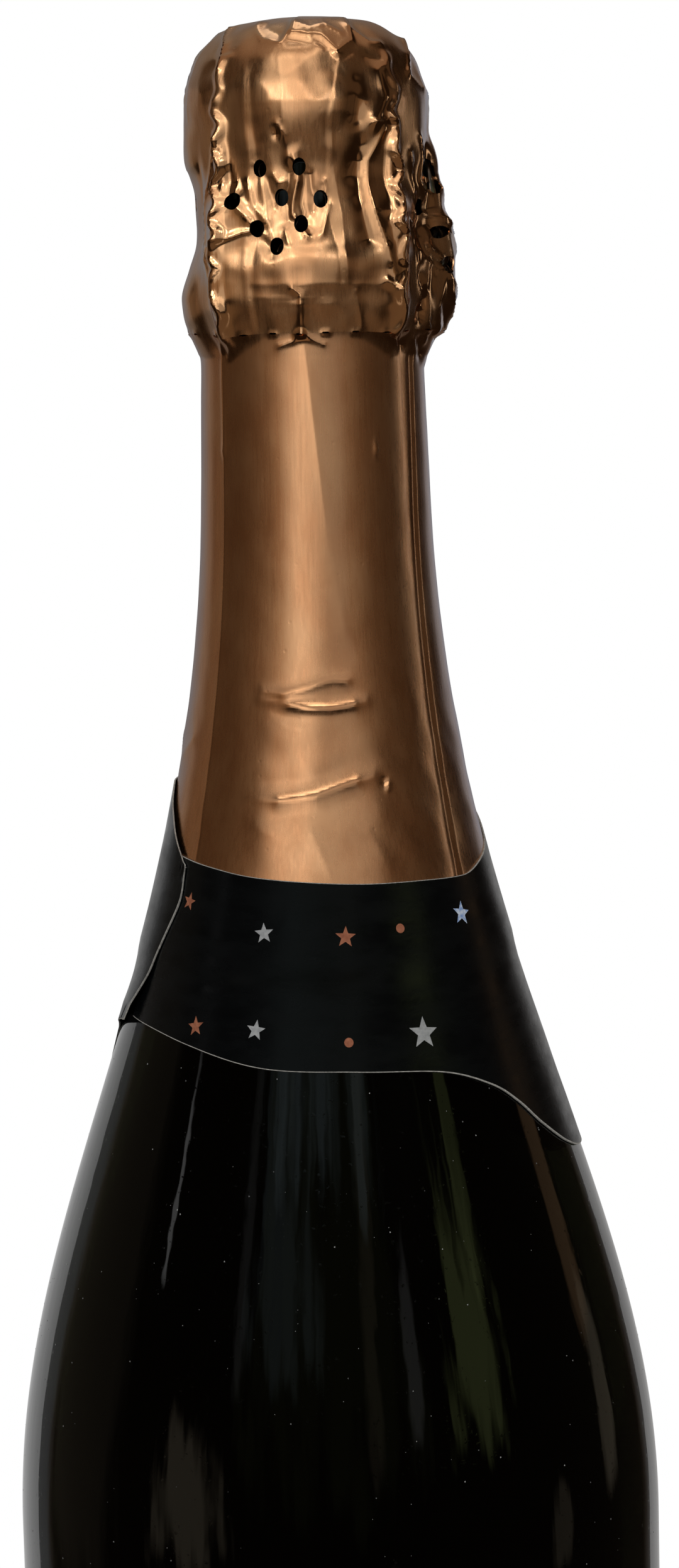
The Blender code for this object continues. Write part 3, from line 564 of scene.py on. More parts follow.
def buildWine():
    # the hollow's outline a gap further in, cut off at the wine's level
    g = glassShape
    inside = hollowOutline(g["wineGap"])
    under = inside[inside[:, 1] < g["wineLevel"] - g["wineStep"]]
    wall = shoulderCurve(g["wall"] + g["wineGap"], 200)
    brim = np.interp(g["wineLevel"], wall[:, 1], wall[:, 0])
    outline = np.vstack([under[::-1], [(brim, g["wineLevel"]), (0, g["wineLevel"])]])
    return turnedPiece("wineBody", outline, g["wineColumns"], plain["clearWine"], g["crisp"])


standOn(buildGlass(), "bottle", "glass_bottle")
standOn(buildWine(), "bottle", "wine")
print("glass and wine made")

# cork and plaque

corkShape = {
    "shaft": 8.45, "seat": 300.3, "flank": 2.5, "head": 14.8, "widest": 306.0, "rise": 10.1, "power": 2.35,
    "bottom": 286.8, "channel": 0.95, "channelHalfWidth": 1.9, "legs": 4, "firstLeg": 45.0,
    "chamfer": 0.15, "fillet": 0.3, "shaftEnds": (1.0, 0.4), "headEdge": 0.5, "rough": 0.05, "grain": 2.2,
    "grainSeed": 31, "discs": [(275.0, 280.8, 0.8, "cork_disc_lower"), (280.9, 286.7, 0.15, "cork_disc_upper")],
    "discChamfer": 0.12, "discRings": (0.3, 0.5, 0.7), "columns": 192, "discColumns": 96, "crisp": 50,
}


def domeHeight(radius, offset):
    # superellipse: widest + rise x (1 - share^p)^(1/p) of the share of the head's radius
    c = corkShape
    share = np.clip(radius / (c["head"] + offset), 0, 1)
    return c["widest"] + (c["rise"] + offset) * (1 - share ** c["power"]) ** (1 / c["power"])


def legDistance(azimuth):
    # degrees to the nearest leg of the cage
    pitch = 360.0 / corkShape["legs"]
    turn = (azimuth - corkShape["firstLeg"]) % pitch
    return np.minimum(turn, pitch - turn)


def buildCork():
    # shaft, flank and dome; the head is pressed in by channel x exp(-(distance to a leg / half width)^4)
    c = corkShape
    seat = [(0, c["bottom"]), (c["shaft"] - c["chamfer"], c["bottom"]), (c["shaft"], c["bottom"] + c["chamfer"])]
    low, high = c["shaftEnds"]
    shaft = np.c_[np.full(12, c["shaft"]), np.linspace(c["bottom"] + low, c["seat"] - high, 12)]
    middle = c["head"] - c["flank"]
    flank = arcPoints((middle, c["seat"] + c["flank"]), (c["flank"],) * 2, -90, 0, 8)
    radii = c["head"] * np.sin(np.radians(np.linspace(90, 0, 40)))
    dome = np.c_[radii, domeHeight(radii, 0)]
    dome[-1, 0] = 0

    def pressed(radii, azimuth, height):
        # radius - channel depth - grain, on the head only
        across = np.radians(legDistance(azimuth)) * c["head"]
        depth = c["channel"] * np.exp(-(across / c["channelHalfWidth"]) ** 4)
        grain = c["rough"] * waves(around(radii, azimuth, height), c["grain"], c["grainSeed"])
        onHead = smoothStep(radii, middle - c["headEdge"], middle + c["headEdge"])
        return radii - depth * onHead - (c["rough"] + np.abs(grain)) * onHead * (radii > 1)

    outline = np.vstack([seat, shaft, [(c["shaft"] + c["fillet"], c["seat"])], flank, dome[1:]])
    return turnedPiece("corkBody", outline, c["columns"], corkGranules, c["crisp"], pressed)


def buildDisc(low, high, chamfer, name):
    # a cylinder with both edges cut off at 45 degrees
    c = corkShape
    shaft, top = c["shaft"], c["discChamfer"]
    outline = [(0, low), (shaft - chamfer, low), (shaft, low + chamfer)]
    outline += [(shaft, low + share * (high - low)) for share in c["discRings"]]
    outline += [(shaft, high - top), (shaft - top, high), (0, high)]
    return turnedPiece(name + "_wood", outline, c["discColumns"], corkWood, c["crisp"])


plaqueShape = {
    "radius": 11.6, "gap": 0.3, "under": 0.05, "over": 0.38, "rim": 0.25, "columns": 128, "crisp": 60,
    "presses": [(9.6, 0.35, 0.12), (8.6, 0.3, -0.1), (4.2, 0.3, 0.1)],  # radius, half width, rise
}


def buildPlaque():
    # two domes a sheet apart and a rolled rim; each pressed ring adds rise x exp(-(distance / half width)^2)
    p = plaqueShape
    radii = np.linspace(0, p["radius"] - p["rim"], 60)
    press = sum(rise * np.exp(-((radii - radius) / half) ** 2) for radius, half, rise in p["presses"])
    over = np.c_[radii, domeHeight(radii, p["gap"]) + p["over"] + press]
    under = np.c_[radii, domeHeight(radii, p["gap"]) + p["under"]]
    edge = (under[-1] + over[-1]) / 2
    rim = arcPoints(edge, ((over[-1, 1] - under[-1, 1]) / 2,) * 2, -60, 60, 6)
    outline = np.vstack([under, rim, over[::-1]])
    return turnedPiece("plaqueCap", outline, p["columns"], plain["plaqueTin"], p["crisp"])


standOn(buildCork(), "stopper", "cork_trunk")
for low, high, chamfer, node in corkShape["discs"]:
    standOn(buildDisc(low, high, chamfer, node), "stopper", node)
standOn(buildPlaque(), "cage", "plaque")
print("cork and plaque made")

# wire cage

cageShape = {
    "wire": 0.8, "belt": 1.1, "twist": 0.55, "turns": 5, "perTurn": 18, "ring": 12.7, "ringStand": 0.7,
    "legTop": (13.6, 15.1), "legStand": 0.3,
    "legKnots": [(15.25, 303.0), (15.55, 300.0), (15.85, 293.8), (16.25, 287.6), (16.25, 284.3)],
    "middle": 290.0, "beltHeight": 281.25, "beltTight": 14.45, "beltOut": 15.55, "beltEnd": 0.3,
    "eye": 1.25, "eyeTurn": (15.0, -270.0), "tabAzimuth": 90.0, "tabRoot": 16.25, "tabStand": 0.3,
    "tabTwist": 0.7, "tabTurns": 2, "tabLoop": 5.2, "tabLength": 18.0, "tabLean": 2.1, "tabOut": 1.4,
    "tabTwistShare": 0.52, "tabOpening": 0.7, "tabSteps": (92, 190), "beltSteps": (160, 300),
    "eyeSteps": 25, "ringSteps": 30,
}


def legLine():
    # over the head's side and down past the lip and the collar, at equal steps
    c = cageShape
    upper = [(r, float(domeHeight(np.array(r), c["legStand"]))) for r in np.linspace(*c["legTop"], 4)]
    return smoothCurve(upper + c["legKnots"], c["turns"] * c["perTurn"])


def twistedStrand(line, azimuth, side):
    # line + side x radius x (cos turn along the belt, sin turn square to the line)
    c = cageShape
    turn = math.tau * np.arange(len(line)) / c["perTurn"]
    reach = side * c["twist"]
    return besideLine(line, azimuth, reach * np.sin(turn), reach * np.cos(turn))


def buildCage():
    # one closed wire: up a strand of each leg from its eye, down the other, and round the ring to the next leg
    c = cageShape
    line = legLine()
    partTurn = math.degrees((c["twist"] + c["wire"]) / c["ring"])
    ringHeight = float(domeHeight(np.array(c["ring"]), c["ringStand"]))
    share = np.linspace(0, 1, c["eyeSteps"])
    start, end = c["eyeTurn"]
    turn = np.radians(start + (end - start) * share)
    path = []
    for leg in range(corkShape["legs"]):
        azimuth = corkShape["firstLeg"] + leg * 90
        eye = around(c["beltOut"] + c["eye"] * np.cos(turn), azimuth, c["beltHeight"] + c["eye"] * np.sin(turn))
        eye = eye + around(1, azimuth + 90, 0) * (c["twist"] * (2 * share - 1))[:, None]
        between = azimuth + partTurn + np.linspace(0, 1, c["ringSteps"]) * (90 - 2 * partTurn)
        path += [twistedStrand(line, azimuth, -1), eye, twistedStrand(line, azimuth, 1)[::-1]]
        path += [around(c["ring"], between, ringHeight)]
    path = np.vstack(path)
    for _ in range(3):  # eases the corners where the parts meet
        path = 0.25 * np.roll(path, 1, axis=0) + 0.5 * path + 0.25 * np.roll(path, -1, axis=0)
    aside = path - [0, 0, c["middle"]]
    aside /= np.linalg.norm(aside, axis=1)[:, None]
    return tubePiece("cageLegs", path, c["wire"] / 2, plain["cageSteel"], aside, closed=True)


def buildBelt():
    # radius = tight + (out - tight) x (1 + cos(4 x azimuth from a leg)) / 2, and both ends turn out to the tab
    c = cageShape
    start = math.degrees((c["tabTwist"] + c["belt"]) / c["beltTight"])
    azimuth = c["tabAzimuth"] + np.linspace(start, 360 - start, c["beltSteps"][0])
    swing = np.cos(np.radians(corkShape["legs"] * (azimuth - corkShape["firstLeg"])))
    radius = c["beltTight"] + (c["beltOut"] - c["beltTight"]) * (1 + swing) / 2
    ends = []
    for side in (1, -1):
        across = around(1, c["tabAzimuth"] + 90, 0) * side
        inner = around(c["beltTight"] + c["belt"] / 2, c["tabAzimuth"], c["beltHeight"])
        outer = around(c["tabRoot"], c["tabAzimuth"], c["beltHeight"])
        ends.append(np.array([outer + across * c["tabTwist"], inner + across * (c["tabTwist"] + c["beltEnd"])]))
    path = np.vstack([ends[0], around(radius, azimuth, c["beltHeight"]), ends[1][::-1]])
    path = smoothCurve(path, c["beltSteps"][1])
    return tubePiece("cageBelt", path, c["belt"] / 2, plain["cageSteel"], (0, 0, 1))


def buildTab():
    # a line that bends up from the belt, twisted, then opened into a loop by a half sine
    c = cageShape
    root, foot = c["tabRoot"] + c["tabStand"], c["beltHeight"]
    bend, tall = root + c["tabOut"], c["tabLength"]
    knots = [(root, foot), ((root + bend) / 2, foot + c["tabOut"] / 8), (bend, foot + c["tabOut"]),
             (bend - c["tabLean"] / 6, foot + tall / 5), (bend - c["tabLean"] / 2, foot + tall / 2),
             (bend - c["tabLean"], foot + tall)]
    line = smoothCurve(knots, c["tabSteps"][0])
    share = np.linspace(0, 1, len(line))
    turn = math.tau * c["tabTurns"] * np.clip(share / c["tabTwistShare"], 0, 1)
    opened = np.clip((share - c["tabTwistShare"]) / (1 - c["tabTwistShare"]), 0, 1)
    opened = np.sin(math.pi * opened) ** c["tabOpening"]
    reach = c["tabTwist"] + (c["tabLoop"] / 2 - c["tabTwist"]) * opened
    reach[-1] = 0.0
    out, back = (besideLine(line, c["tabAzimuth"], side * reach * np.sin(turn), side * reach * np.cos(turn))
                 for side in (1, -1))
    path = smoothCurve(np.vstack([out, back[::-1][1:]]), c["tabSteps"][1])
    return tubePiece("cageTab", path, c["belt"] / 2, plain["cageSteel"], (0.7071, 0, -0.7071))


standOn(buildCage(), "cage", "cage_wire")
standOn(buildBelt(), "cage", "cage_belt")
standOn(buildTab(), "tab", "cage_tab")
print("cage made")

# foil: one skin, parted at the tear line into the neck's sleeve and the hood

foilShape = {
    "columns": 296, "sleeveRows": 150, "hoodRows": 163, "thick": 0.18, "stand": 0.32,
    "tear": 277.15, "tearGap": 0.005, "onGlass": (196, 272, 4), "hoodFrom": (276, 280), "neckUpTo": (273, 277),
    "bunch": 0.45, "bunchAzimuth": 12,  # the columns are closer together round this azimuth
    "sleeveDensity": [(0, 196), (0.14, 212), (0.56, 236), (0.78, 268), (1, 277.15)],
    "hoodDensity": [(0, 277.15), (0.9, 316.6), (1, 317.99)],
    # (radius, height) of the hood's skin between the ridges
    "outline": [(14.78, 273.2), (15.1, 274.5), (15.72, 276), (16.1, 276.9), (16.42, 277.8), (16.75, 278.8),
                (17, 280.1), (17.1, 281.8), (16.75, 283.4), (16, 285.2), (15.5, 286.9), (15, 288.6),
                (14.8, 290.2), (14.72, 292), (14.8, 294), (15, 296.2), (15.45, 297.8), (15.9, 299.2),
                (16.05, 301), (16.05, 303), (16, 305.6), (15.85, 307.3), (15.55, 308.9), (15, 310.5),
                (14.4, 312.1), (13.75, 313.2), (13, 314.1), (12, 315.05), (10.6, 316.1), (8.8, 316.85),
                (5.9, 317.6), (3, 317.9), (0, 318)],
    # (height, radius) of the crests over the legs and over the tab
    "legReach": [(272.5, 14.6), (274.5, 15), (276, 15.7), (277.1, 16.4), (278.4, 17), (279.6, 17.4),
                 (281.3, 17.75), (284, 17.75), (287.6, 17.7), (293.8, 17.4), (300, 17.1), (303, 16.85),
                 (306, 16.65), (308.5, 16.2), (310.5, 15.6), (312.3, 14.55), (313.5, 13.3), (314.3, 12.4)],
    "tabReach": [(271.5, 14.7), (272.7, 15.05), (273.5, 15.25), (274.3, 15.6), (276, 16.6), (276.8, 17.4),
                 (277.6, 17.9), (278.5, 18.1), (280.1, 18.7), (281.8, 19.1), (283.4, 19.2), (285, 19.3),
                 (286.7, 19.1), (288.4, 18.6), (290, 18.1), (291.7, 17.6), (293.3, 17.25), (295.8, 17.4),
                 (297.4, 17.2), (299.5, 16.9), (301.5, 16.3), (303, 16)],
    "tabFlat": 7, "tabTaut": 0.85, "tabHalfWidth": 2.2, "tautHigh": 0.35, "tautLow": 0.95, "tautFrom": (292.5, 298),
    "crest": 0.85, "overLeg": 0.02, "coverUnder": 0.8, "cover": 1.3,
    # the strands' twist under the foil: pitch, phase from leg to leg, wobble and drift, each with its rate
    "lump": 0.13, "lumpPitch": 2.35, "lumpShown": (280, 284, 307, 311), "lumpTurn": 1.5, "legPhase": 1.7,
    "wobble": 0.5, "wobbleRate": 0.9, "meander": 0.42, "drift": 0.2, "driftRate": 0.55, "driftPhase": 2.1,
    # away from the left side and the tab (azimuth, half width) the foil is drawn in to these (height, radius)
    "loose": [(-90, 30), (90, 40)],
    "front": [(264, 15.01), (268, 14.89), (272, 14.79), (274.5, 14.73), (276, 14.71), (277.2, 14.78),
              (278.3, 15.02), (279.5, 15.3), (280.6, 15.5), (281.8, 15.65), (283.4, 15.86), (285.2, 16.05),
              (286.4, 16), (287.5, 15.72), (288.6, 15.42), (290.2, 15.15), (292, 15), (294, 14.93),
              (296.2, 14.9), (297.8, 14.9), (299.2, 15), (301, 15.3), (303, 15.63), (305, 15.9),
              (306.6, 15.93)],
    "flap": 0.22, "flapEdge": 0.35,
    # dents: spacing, seed and heights; depth on the crown, on the hood and beside the tab
    "crownDents": (6.5, 8, 302, 318), "hoodDents": (6, 9, 274, 304), "crownDent": 0.2, "crownFrom": (303, 309),
    "hoodDent": 0.1, "tabDent": 0.3, "tabDentMiddle": 82, "tabDentHalf": 22, "tabDentHeights": (276, 279, 296, 300),
    # waves: height, further height on the neck's low part, length, seed
    "hoodWaves": [(0.07, 15, 1), (0.05, 7, 2), (0.022, 3.2, 3)],
    "neckWaves": [(0.012, 0.025, 11, 21), (0.004, 0.01, 4.5, 22)], "lowPart": (222, 238),
    "flute": 0.015, "fluteLength": 5, "fluteSeed": 23, "fluteStretch": 0.04,
    # the seam's (azimuth, height) line, its lap and the groove beside the lap
    "seam": [(52.5, 196), (53.4, 204.7), (58, 240), (62, 270.9), (62.3, 277.2)],
    "lap": 0.17, "lapBand": (-0.25, 0.25, 6, 14), "groove": 0.12, "grooveMiddle": -0.6, "grooveHalf": 0.45,
    "slits": [-35, -19.5, -5.6, 7.3, 22.9, 39, 51.6, 68.7, 87.6, 103, 118, 133, 149, 164,
              180, 196, 212, 227, 243, 258, 273, 289, 307],
    "slitHalfWidth": 2.1, "slitFull": 1.6, "hoodSlit": 0.16, "sleeveSlit": 0.08,
    "lip": 0.14, "lipHalf": 0.45, "lipSpan": 0.6, "steps": 2400,
    "vent": (0.9, 1.12), "ventDent": 0.1, "ventDentReach": 1.35,
    "calm": 0.72, "calmFrom": (316.6, 317.8),  # the crown's top is smoother by this share
    "crownRise": 0.05, "foldPolish": (0, 0.3), "ridgePolish": (0.5, 1.4),
}
# (rise, width, power, (azimuth, height) points): the folds that the front shows, and some round the back
foilCreases = [
    (0.34, 0.35, 1, [(-9.2, 317.1), (-7.5, 315.1), (2.7, 314.8), (10, 314.6), (13.3, 313.7), (16.6, 312.5),
                    (23.7, 313.5), (27.7, 314), (29.6, 315.6), (38.5, 317.2)]),
    (-0.2, 0.5, 1, [(-8.4, 314.3), (3, 314), (9.5, 313.7), (13, 312.7), (17, 311.6), (25, 312.6)]),
    (0.22, 0.45, 1, [(2.6, 314.5), (7.5, 313.4), (15.4, 312.5)]),
    (0.55, 0.4, 1, [(-62.4, 316.1), (-49.8, 314), (-46.3, 312.4), (-45.3, 310.9)]),
    (-0.25, 0.9, 1, [(-58, 313.6), (-50.5, 311.6)]),
    (0.55, 0.4, 1, [(76.7, 314.3), (64.9, 312), (59.9, 310.2)]),
    (0.32, 0.6, 1, [(60.4, 309.7), (70.1, 308.5), (87.8, 307.5), (86, 305.3), (84.5, 298.7)]),
    (0.10, 0.8, 1, [(-30.8, 310.9), (-28.9, 298.2), (-31, 287), (-29.2, 278.1)]),
    (-0.10, 0.8, 1, [(-26.5, 310.5), (-24.9, 300.5), (-27.6, 278.1)]),
    (0.14, 0.8, 1, [(18.6, 312.4), (14.2, 308.6), (11.6, 304.6), (12.2, 298.6), (16.4, 292.3), (18, 284.2)]),
    (-0.12, 0.7, 1, [(14.6, 309.9), (9.4, 304.6), (8.8, 293.9), (14, 287.4), (15.1, 283.8)]),
    (0.07, 0.5, 1, [(-13, 312), (-10.4, 308), (-10.8, 304.4)]),
    (0.5, 1, 1.3, [(42.7, 311.6), (38.6, 310.2), (38.7, 308.3), (40, 307), (36.1, 304.9), (33.7, 303.9)]),
    (0.34, 0.5, 1, [(33.7, 303.9), (43.8, 304.2)]),
    (-0.5, 1.5, 2, [(26, 308.6), (24.8, 304.6)]),
    (-0.35, 1.4, 2, [(27, 300.8), (22, 297.5)]),
    (-0.3, 0.65, 2, [(-13.9, 302.6)]), (0.16, 0.3, 2, [(-12.4, 302.9), (-12.6, 302.2)]),
    (0.2, 0.6, 1, [(-13.9, 303.9), (-9.9, 302.2), (-9.3, 300.8), (-9.5, 299.2), (-6.6, 297.2)]),
    (0.42, 0.6, 1, [(-6.3, 299.5), (-4, 297.2), (-7.3, 294), (-7.8, 292.4), (-4.5, 291.3), (-2, 290.4),
                    (-0.6, 289.5)]),
    (-0.32, 0.6, 1, [(-8.6, 297.6), (-10, 294.9), (-9.4, 291.6)]),
    (-0.3, 0.7, 1.3, [(-1.6, 297), (-3.4, 293.6), (0.4, 290.6)]),
    (0.2, 0.6, 1, [(-36.7, 294.3), (-30, 292.2), (-25.1, 290.6)]),
    (0.16, 0.6, 1, [(-23.7, 298), (-22, 294.5), (-18.6, 290.4), (-16, 288.6)]),
    (0.38, 0.6, 1, [(38.7, 302.9), (31.1, 299), (30.6, 296.2), (32.7, 292.2), (37.5, 287.3), (41.3, 282.4)]),
    (-0.4, 1.2, 1.5, [(27, 298.6), (26, 294.5), (30, 289)]),
    (0.34, 0.6, 1, [(-46.5, 302.7), (-38.5, 299.4), (-35.4, 296.6), (-36.6, 294.2)]),
    (0.16, 0.5, 1, [(-36.6, 294.2), (-26, 290.9), (-15.8, 288.3)]),
    (0.26, 0.5, 1, [(-50.6, 284.2), (-51.3, 287.9), (-33.1, 290), (-25.9, 290.5)]),
    (0.22, 0.45, 1, [(-30.5, 297), (-27, 293.6), (-21, 291.6)]),
    (-0.2, 0.5, 1.3, [(-20, 296.8), (-17, 293)]),
    (0.24, 0.45, 1, [(-16.6, 297.4), (-14, 296.4), (-10.6, 296.6)]),
    (-0.22, 0.6, 1.4, [(1.5, 297.4), (2.6, 292.6)]),
    (0.26, 0.45, 1, [(8.6, 296.6), (10.6, 293.4), (6.4, 289.6)]),
    (-0.2, 0.6, 1.4, [(-21, 289), (-18, 286.9)]),
    (0.22, 0.45, 1, [(-11, 290.4), (-9.4, 288.6)]),
    (0.05, 0.8, 2, [(-28, 287.6), (4, 287.3), (38.5, 287.5)]),
    (0.06, 0.4, 1.3, [(-26.9, 283.5), (10.4, 283.4), (38, 282.9)]),
    (0.05, 0.3, 1.2, [(-26.2, 281.8), (1.8, 281.5)]),
    (0.05, 0.3, 1.2, [(-19.1, 281.1), (10, 280.7)]),
    (0.35, 0.5, 1, [(36.6, 283.3), (42.2, 282.2)]),
    (0.3, 0.5, 1, [(-8.4, 282.8), (-4.3, 282), (-4.8, 277.8), (-4.6, 277.3)]),
    (0.14, 0.6, 1, [(22, 282.4), (24.5, 279.5), (26, 277.6)]),
    (0.4, 0.6, 1, [(61.5, 287.2), (78, 283.1), (87.7, 281.3)]),
    (-0.6, 1.3, 1.5, [(62.8, 279.5), (70, 284.5), (66, 290.5)]),
    (0.4, 0.6, 1, [(58, 300), (66, 293), (62, 286)]),
    (-0.5, 1.2, 1.6, [(76, 300.5), (80, 296)]),
    (0.35, 0.8, 1.3, [(84, 296.6), (90, 293.6), (84, 289.6), (92, 286)]),
    (0.4, 0.5, 1, [(72, 288.8), (66, 283), (68, 278), (72, 275.5)]),
    (-0.5, 1, 1.5, [(80, 279.6), (84, 276.6)]),
    (0.5, 0.5, 1, [(66, 302), (70, 299.4), (68, 296.6), (73, 294.6)]),
    (-0.4, 0.7, 1.4, [(74, 298), (77, 293.4), (75, 290.6)]),
    (0.45, 0.5, 1, [(74, 292), (84, 291.4), (92, 288.4)]),
    (0.5, 0.5, 1, [(70, 287.6), (76, 286), (80, 281.6), (88, 279)]),
    (-0.45, 0.7, 1.4, [(60, 284), (64, 281), (62, 278.6)]),
    (0.4, 0.45, 1, [(56, 291), (60, 288), (58, 283.4), (63, 280)]),
    (0.35, 0.45, 1, [(76, 284.4), (74, 280), (78, 276.8)]),
    (0.3, 0.5, 1, [(-36, 316.6), (-24, 314.4), (-13, 313.9), (-9.5, 315.4)]),
    (-0.25, 0.7, 1.4, [(-28, 316.2), (-15, 315.2)]),
    (0.3, 0.4, 1, [(30, 315.6), (38, 313.8), (46, 313.6)]),
    (-0.3, 0.8, 1.4, [(33, 312.4), (41, 311.6)]),
    (0.26, 0.4, 1, [(-6, 316.4), (4, 315.6), (14, 316), (22, 315)]),
    (0.14, 1.8, 1, [(-5, 277.4), (-3.5, 274.7), (-1, 268.2), (4.5, 255), (11.1, 238.8)]),
    (0.1, 0.72, 1.5, [(-27, 229.6), (-17, 229.2), (-8, 228.7), (4, 228.4), (12, 228.7), (20, 229.1)]),
    (0.18, 0.72, 1.5, [(-13, 229), (-4, 228.5), (4, 228.4), (12, 228.7), (14, 228.8)]),
    (0.1, 0.7, 1.5, [(-26, 230.8), (-14, 230.5), (-6, 231.2), (0, 231.8), (6, 232.2), (12, 231.9)]),
    (0.1, 0.8, 1.5, [(-16, 230.4), (-6, 231.2), (0, 231.8), (6, 232.2), (10, 232.1)]),
    (-0.05, 0.9, 1.6, [(-12, 229.8), (-2, 229.9), (12, 230.3)]),
    (-0.05, 1, 1.6, [(-20, 227.7), (-4, 227.4), (12, 228.2)]),
    (0.05, 0.7, 1, [(-22, 227.8), (-14, 226.2), (-8, 225.9)]),
    (0.09, 0.75, 1.5, [(-30, 217), (-16, 216.6), (-3, 217.3), (8, 218.5), (20.5, 219.5)]),
    (0.15, 0.75, 1.5, [(-17, 216.6), (-3, 217.3), (8, 218.5), (13, 219)]),
    (-0.06, 1.1, 1.6, [(-22, 219), (-6, 219.4), (8, 221)]),
    (-0.05, 1, 1.6, [(-18, 214.6), (-2, 215.2), (12, 216.8)]),
    (0.06, 0.8, 1.5, [(-26, 213.4), (-15, 211.8)]),
    (-0.22, 0.6, 2, [(24.5, 218.8)]), (0.2, 0.35, 2, [(26.4, 218.3), (26, 217.7)]),
    (0.28, 0.35, 2, [(32.3, 262)]),
    (0.08, 0.8, 1, [(-4, 212.5), (2, 207.5)]), (0.07, 0.9, 1, [(8, 213), (13, 207.5)]),
    (0.06, 0.9, 1, [(16, 212.5), (24, 207.8)]),
    (0.2, 0.5, 1, [(-16.3, 275.6), (-9, 276.2), (-4.9, 277.2), (1, 276.3), (6.5, 275.7)]),
    (0.25, 0.6, 1, [(-51.5, 277.5), (-51.7, 271.6), (-51, 262)]),
    (0.14, 0.5, 1, [(-51, 262), (-51.5, 200)]),
    (-0.35, 0.8, 1.4, [(43, 276.4), (52, 275.2)]),
    (-0.35, 0.8, 1.4, [(66, 275.6), (72, 273.9)]), (0.25, 0.6, 1, [(60, 275.8), (66, 274)]),
    (0.2, 0.9, 1, [(150, 236), (176, 232.5), (196, 234)]),
    (0.18, 0.9, 1, [(214, 258), (222, 244), (219, 226)]),
    (0.2, 1, 1, [(118, 262), (124, 246), (121, 228)]),
    (0.16, 0.9, 1, [(262, 224), (280, 221), (292, 223.5)]),
]
crownFlap = [(-9.2, 319), (-9, 317), (-7.5, 315.1), (2.7, 314.8), (10, 314.6), (13.3, 313.7),
             (16.6, 312.5), (23.7, 313.5), (27.7, 314), (29.6, 315.6), (38.5, 317.2), (38.5, 319)]
frontVents = [(-23.7, 298.3), (-3.8, 298.4), (-36.7, 294.3), (-13.1, 294.5), (6.4, 294.2), (-25.1, 290.6),
              (-3.5, 291.1), (-15.3, 288.3)]
rightVents = [(77, 298.2), (80.5, 296), (69, 293), (78.5, 289.2), (78.5, 284.6), (104, 286)]
backVents = [(azimuth + turn, height) for turn in (180, 270) for azimuth, height in frontVents]
allVents = frontVents + rightVents + backVents


def foilOutline():
    # the glass and a stand-off, then the table; with it the length along it and its outward normal
    f = foilShape
    low = np.arange(*f["onGlass"], dtype=float)
    curve = smoothCurve(np.vstack([np.c_[glassRadius(low) + f["stand"], low], f["outline"]]), f["steps"])
    slope = squareTo(curve)
    lengths = np.r_[0, np.cumsum(np.linalg.norm(np.diff(curve, axis=0), axis=1))]
    return curve, lengths, np.c_[slope[:, 1], -slope[:, 0]]


strayFolds = {
    "seed": 5, "pleats": (104, 292, 13), "lean": 9, "leanAtMiddle": 0.3, "bend": 3, "pleatTop": (313, 317),
    "pleatLow": (303, 309), "pleatRise": (0.12, 0.38), "pleatWidth": (0.4, 0.8),
    "sides": [(135, -1), (135, 1), (225, -1), (225, 1), (315, -1)],  # a leg's azimuth and a side of it
    "drapeTop": (299, 303), "drapeLow": (283, 288), "drapeRise": (0.2, 0.4), "drapeWidth": (0.5, 0.9),
    "drapeAway": (5, (10, 17), 7), "hollowWidth": (1, 1.5), "hollowPower": 1.5, "hollowAway": (21, 19),
    "hollowIn": (2, 3),
}


def strayCreases():
    # random folds where the photo shows nothing: pleats over the crown's edge, and slanting drapes and hollows
    s = strayFolds
    draw = np.random.default_rng(s["seed"])
    table = []
    for azimuth in np.arange(*s["pleats"]):
        lean, top = draw.uniform(-s["lean"], s["lean"]), draw.uniform(*s["pleatTop"])
        low = draw.uniform(*s["pleatLow"])
        middle = (azimuth + lean * s["leanAtMiddle"] + draw.uniform(-s["bend"], s["bend"]), (top + low) / 2)
        table.append((draw.uniform(*s["pleatRise"]), draw.uniform(*s["pleatWidth"]), 1,
                      [(azimuth, top), middle, (azimuth + lean, low)]))
    near, far, end = s["drapeAway"]
    for leg, side in s["sides"]:
        start, low = draw.uniform(*s["drapeTop"]), draw.uniform(*s["drapeLow"])
        table.append((draw.uniform(*s["drapeRise"]), draw.uniform(*s["drapeWidth"]), 1,
                      [(leg + side * near, start), (leg + side * draw.uniform(*far), (start + low) / 2),
                       (leg + side * end, low)]))
        table.append((-draw.uniform(*s["drapeRise"]), draw.uniform(*s["hollowWidth"]), s["hollowPower"],
                      [(leg + side * s["hollowAway"][0], start - s["hollowIn"][0]),
                       (leg + side * s["hollowAway"][1], low + s["hollowIn"][1])]))
    return table


def insideOutline(azimuth, height, corners):
    # a level line from the point crosses the outline an odd number of times
    inside = np.zeros(azimuth.shape, bool)
    for (x1, y1), (x2, y2) in zip(corners, corners[1:] + corners[:1]):
        if y1 != y2:
            crossing = x1 + (height - y1) * (x2 - x1) / (y2 - y1)
            inside ^= ((y1 > height) != (y2 > height)) & (awayFrom(azimuth, 0) < crossing)
    return inside


def tautRadius(base, crest, across):
    # straight lines from the crest that touch the base circle: base / cos(touching angle - across)
    touch = np.arccos(np.clip(base / np.maximum(crest, base + 1e-6), -1, 1))
    return np.where(across < touch, base / np.cos(touch - across), base)


def softPeak(heights, power):
    # (sum of the heights^power)^(1/power): about the highest of them, with soft joins
    return (sum(height**power for height in heights) + 1e-12) ** (1 / power)


def ridgeRise(base, crest, across, taut, halfWidth):
    # the taut foil beside the crest, and a narrow bell over it
    drape = np.maximum(tautRadius(base, crest, across) - base, 0) * taut
    bell = np.maximum(crest - base, 0) * np.exp(-(across * base / halfWidth) ** 2)
    return softPeak([drape, bell], 6)


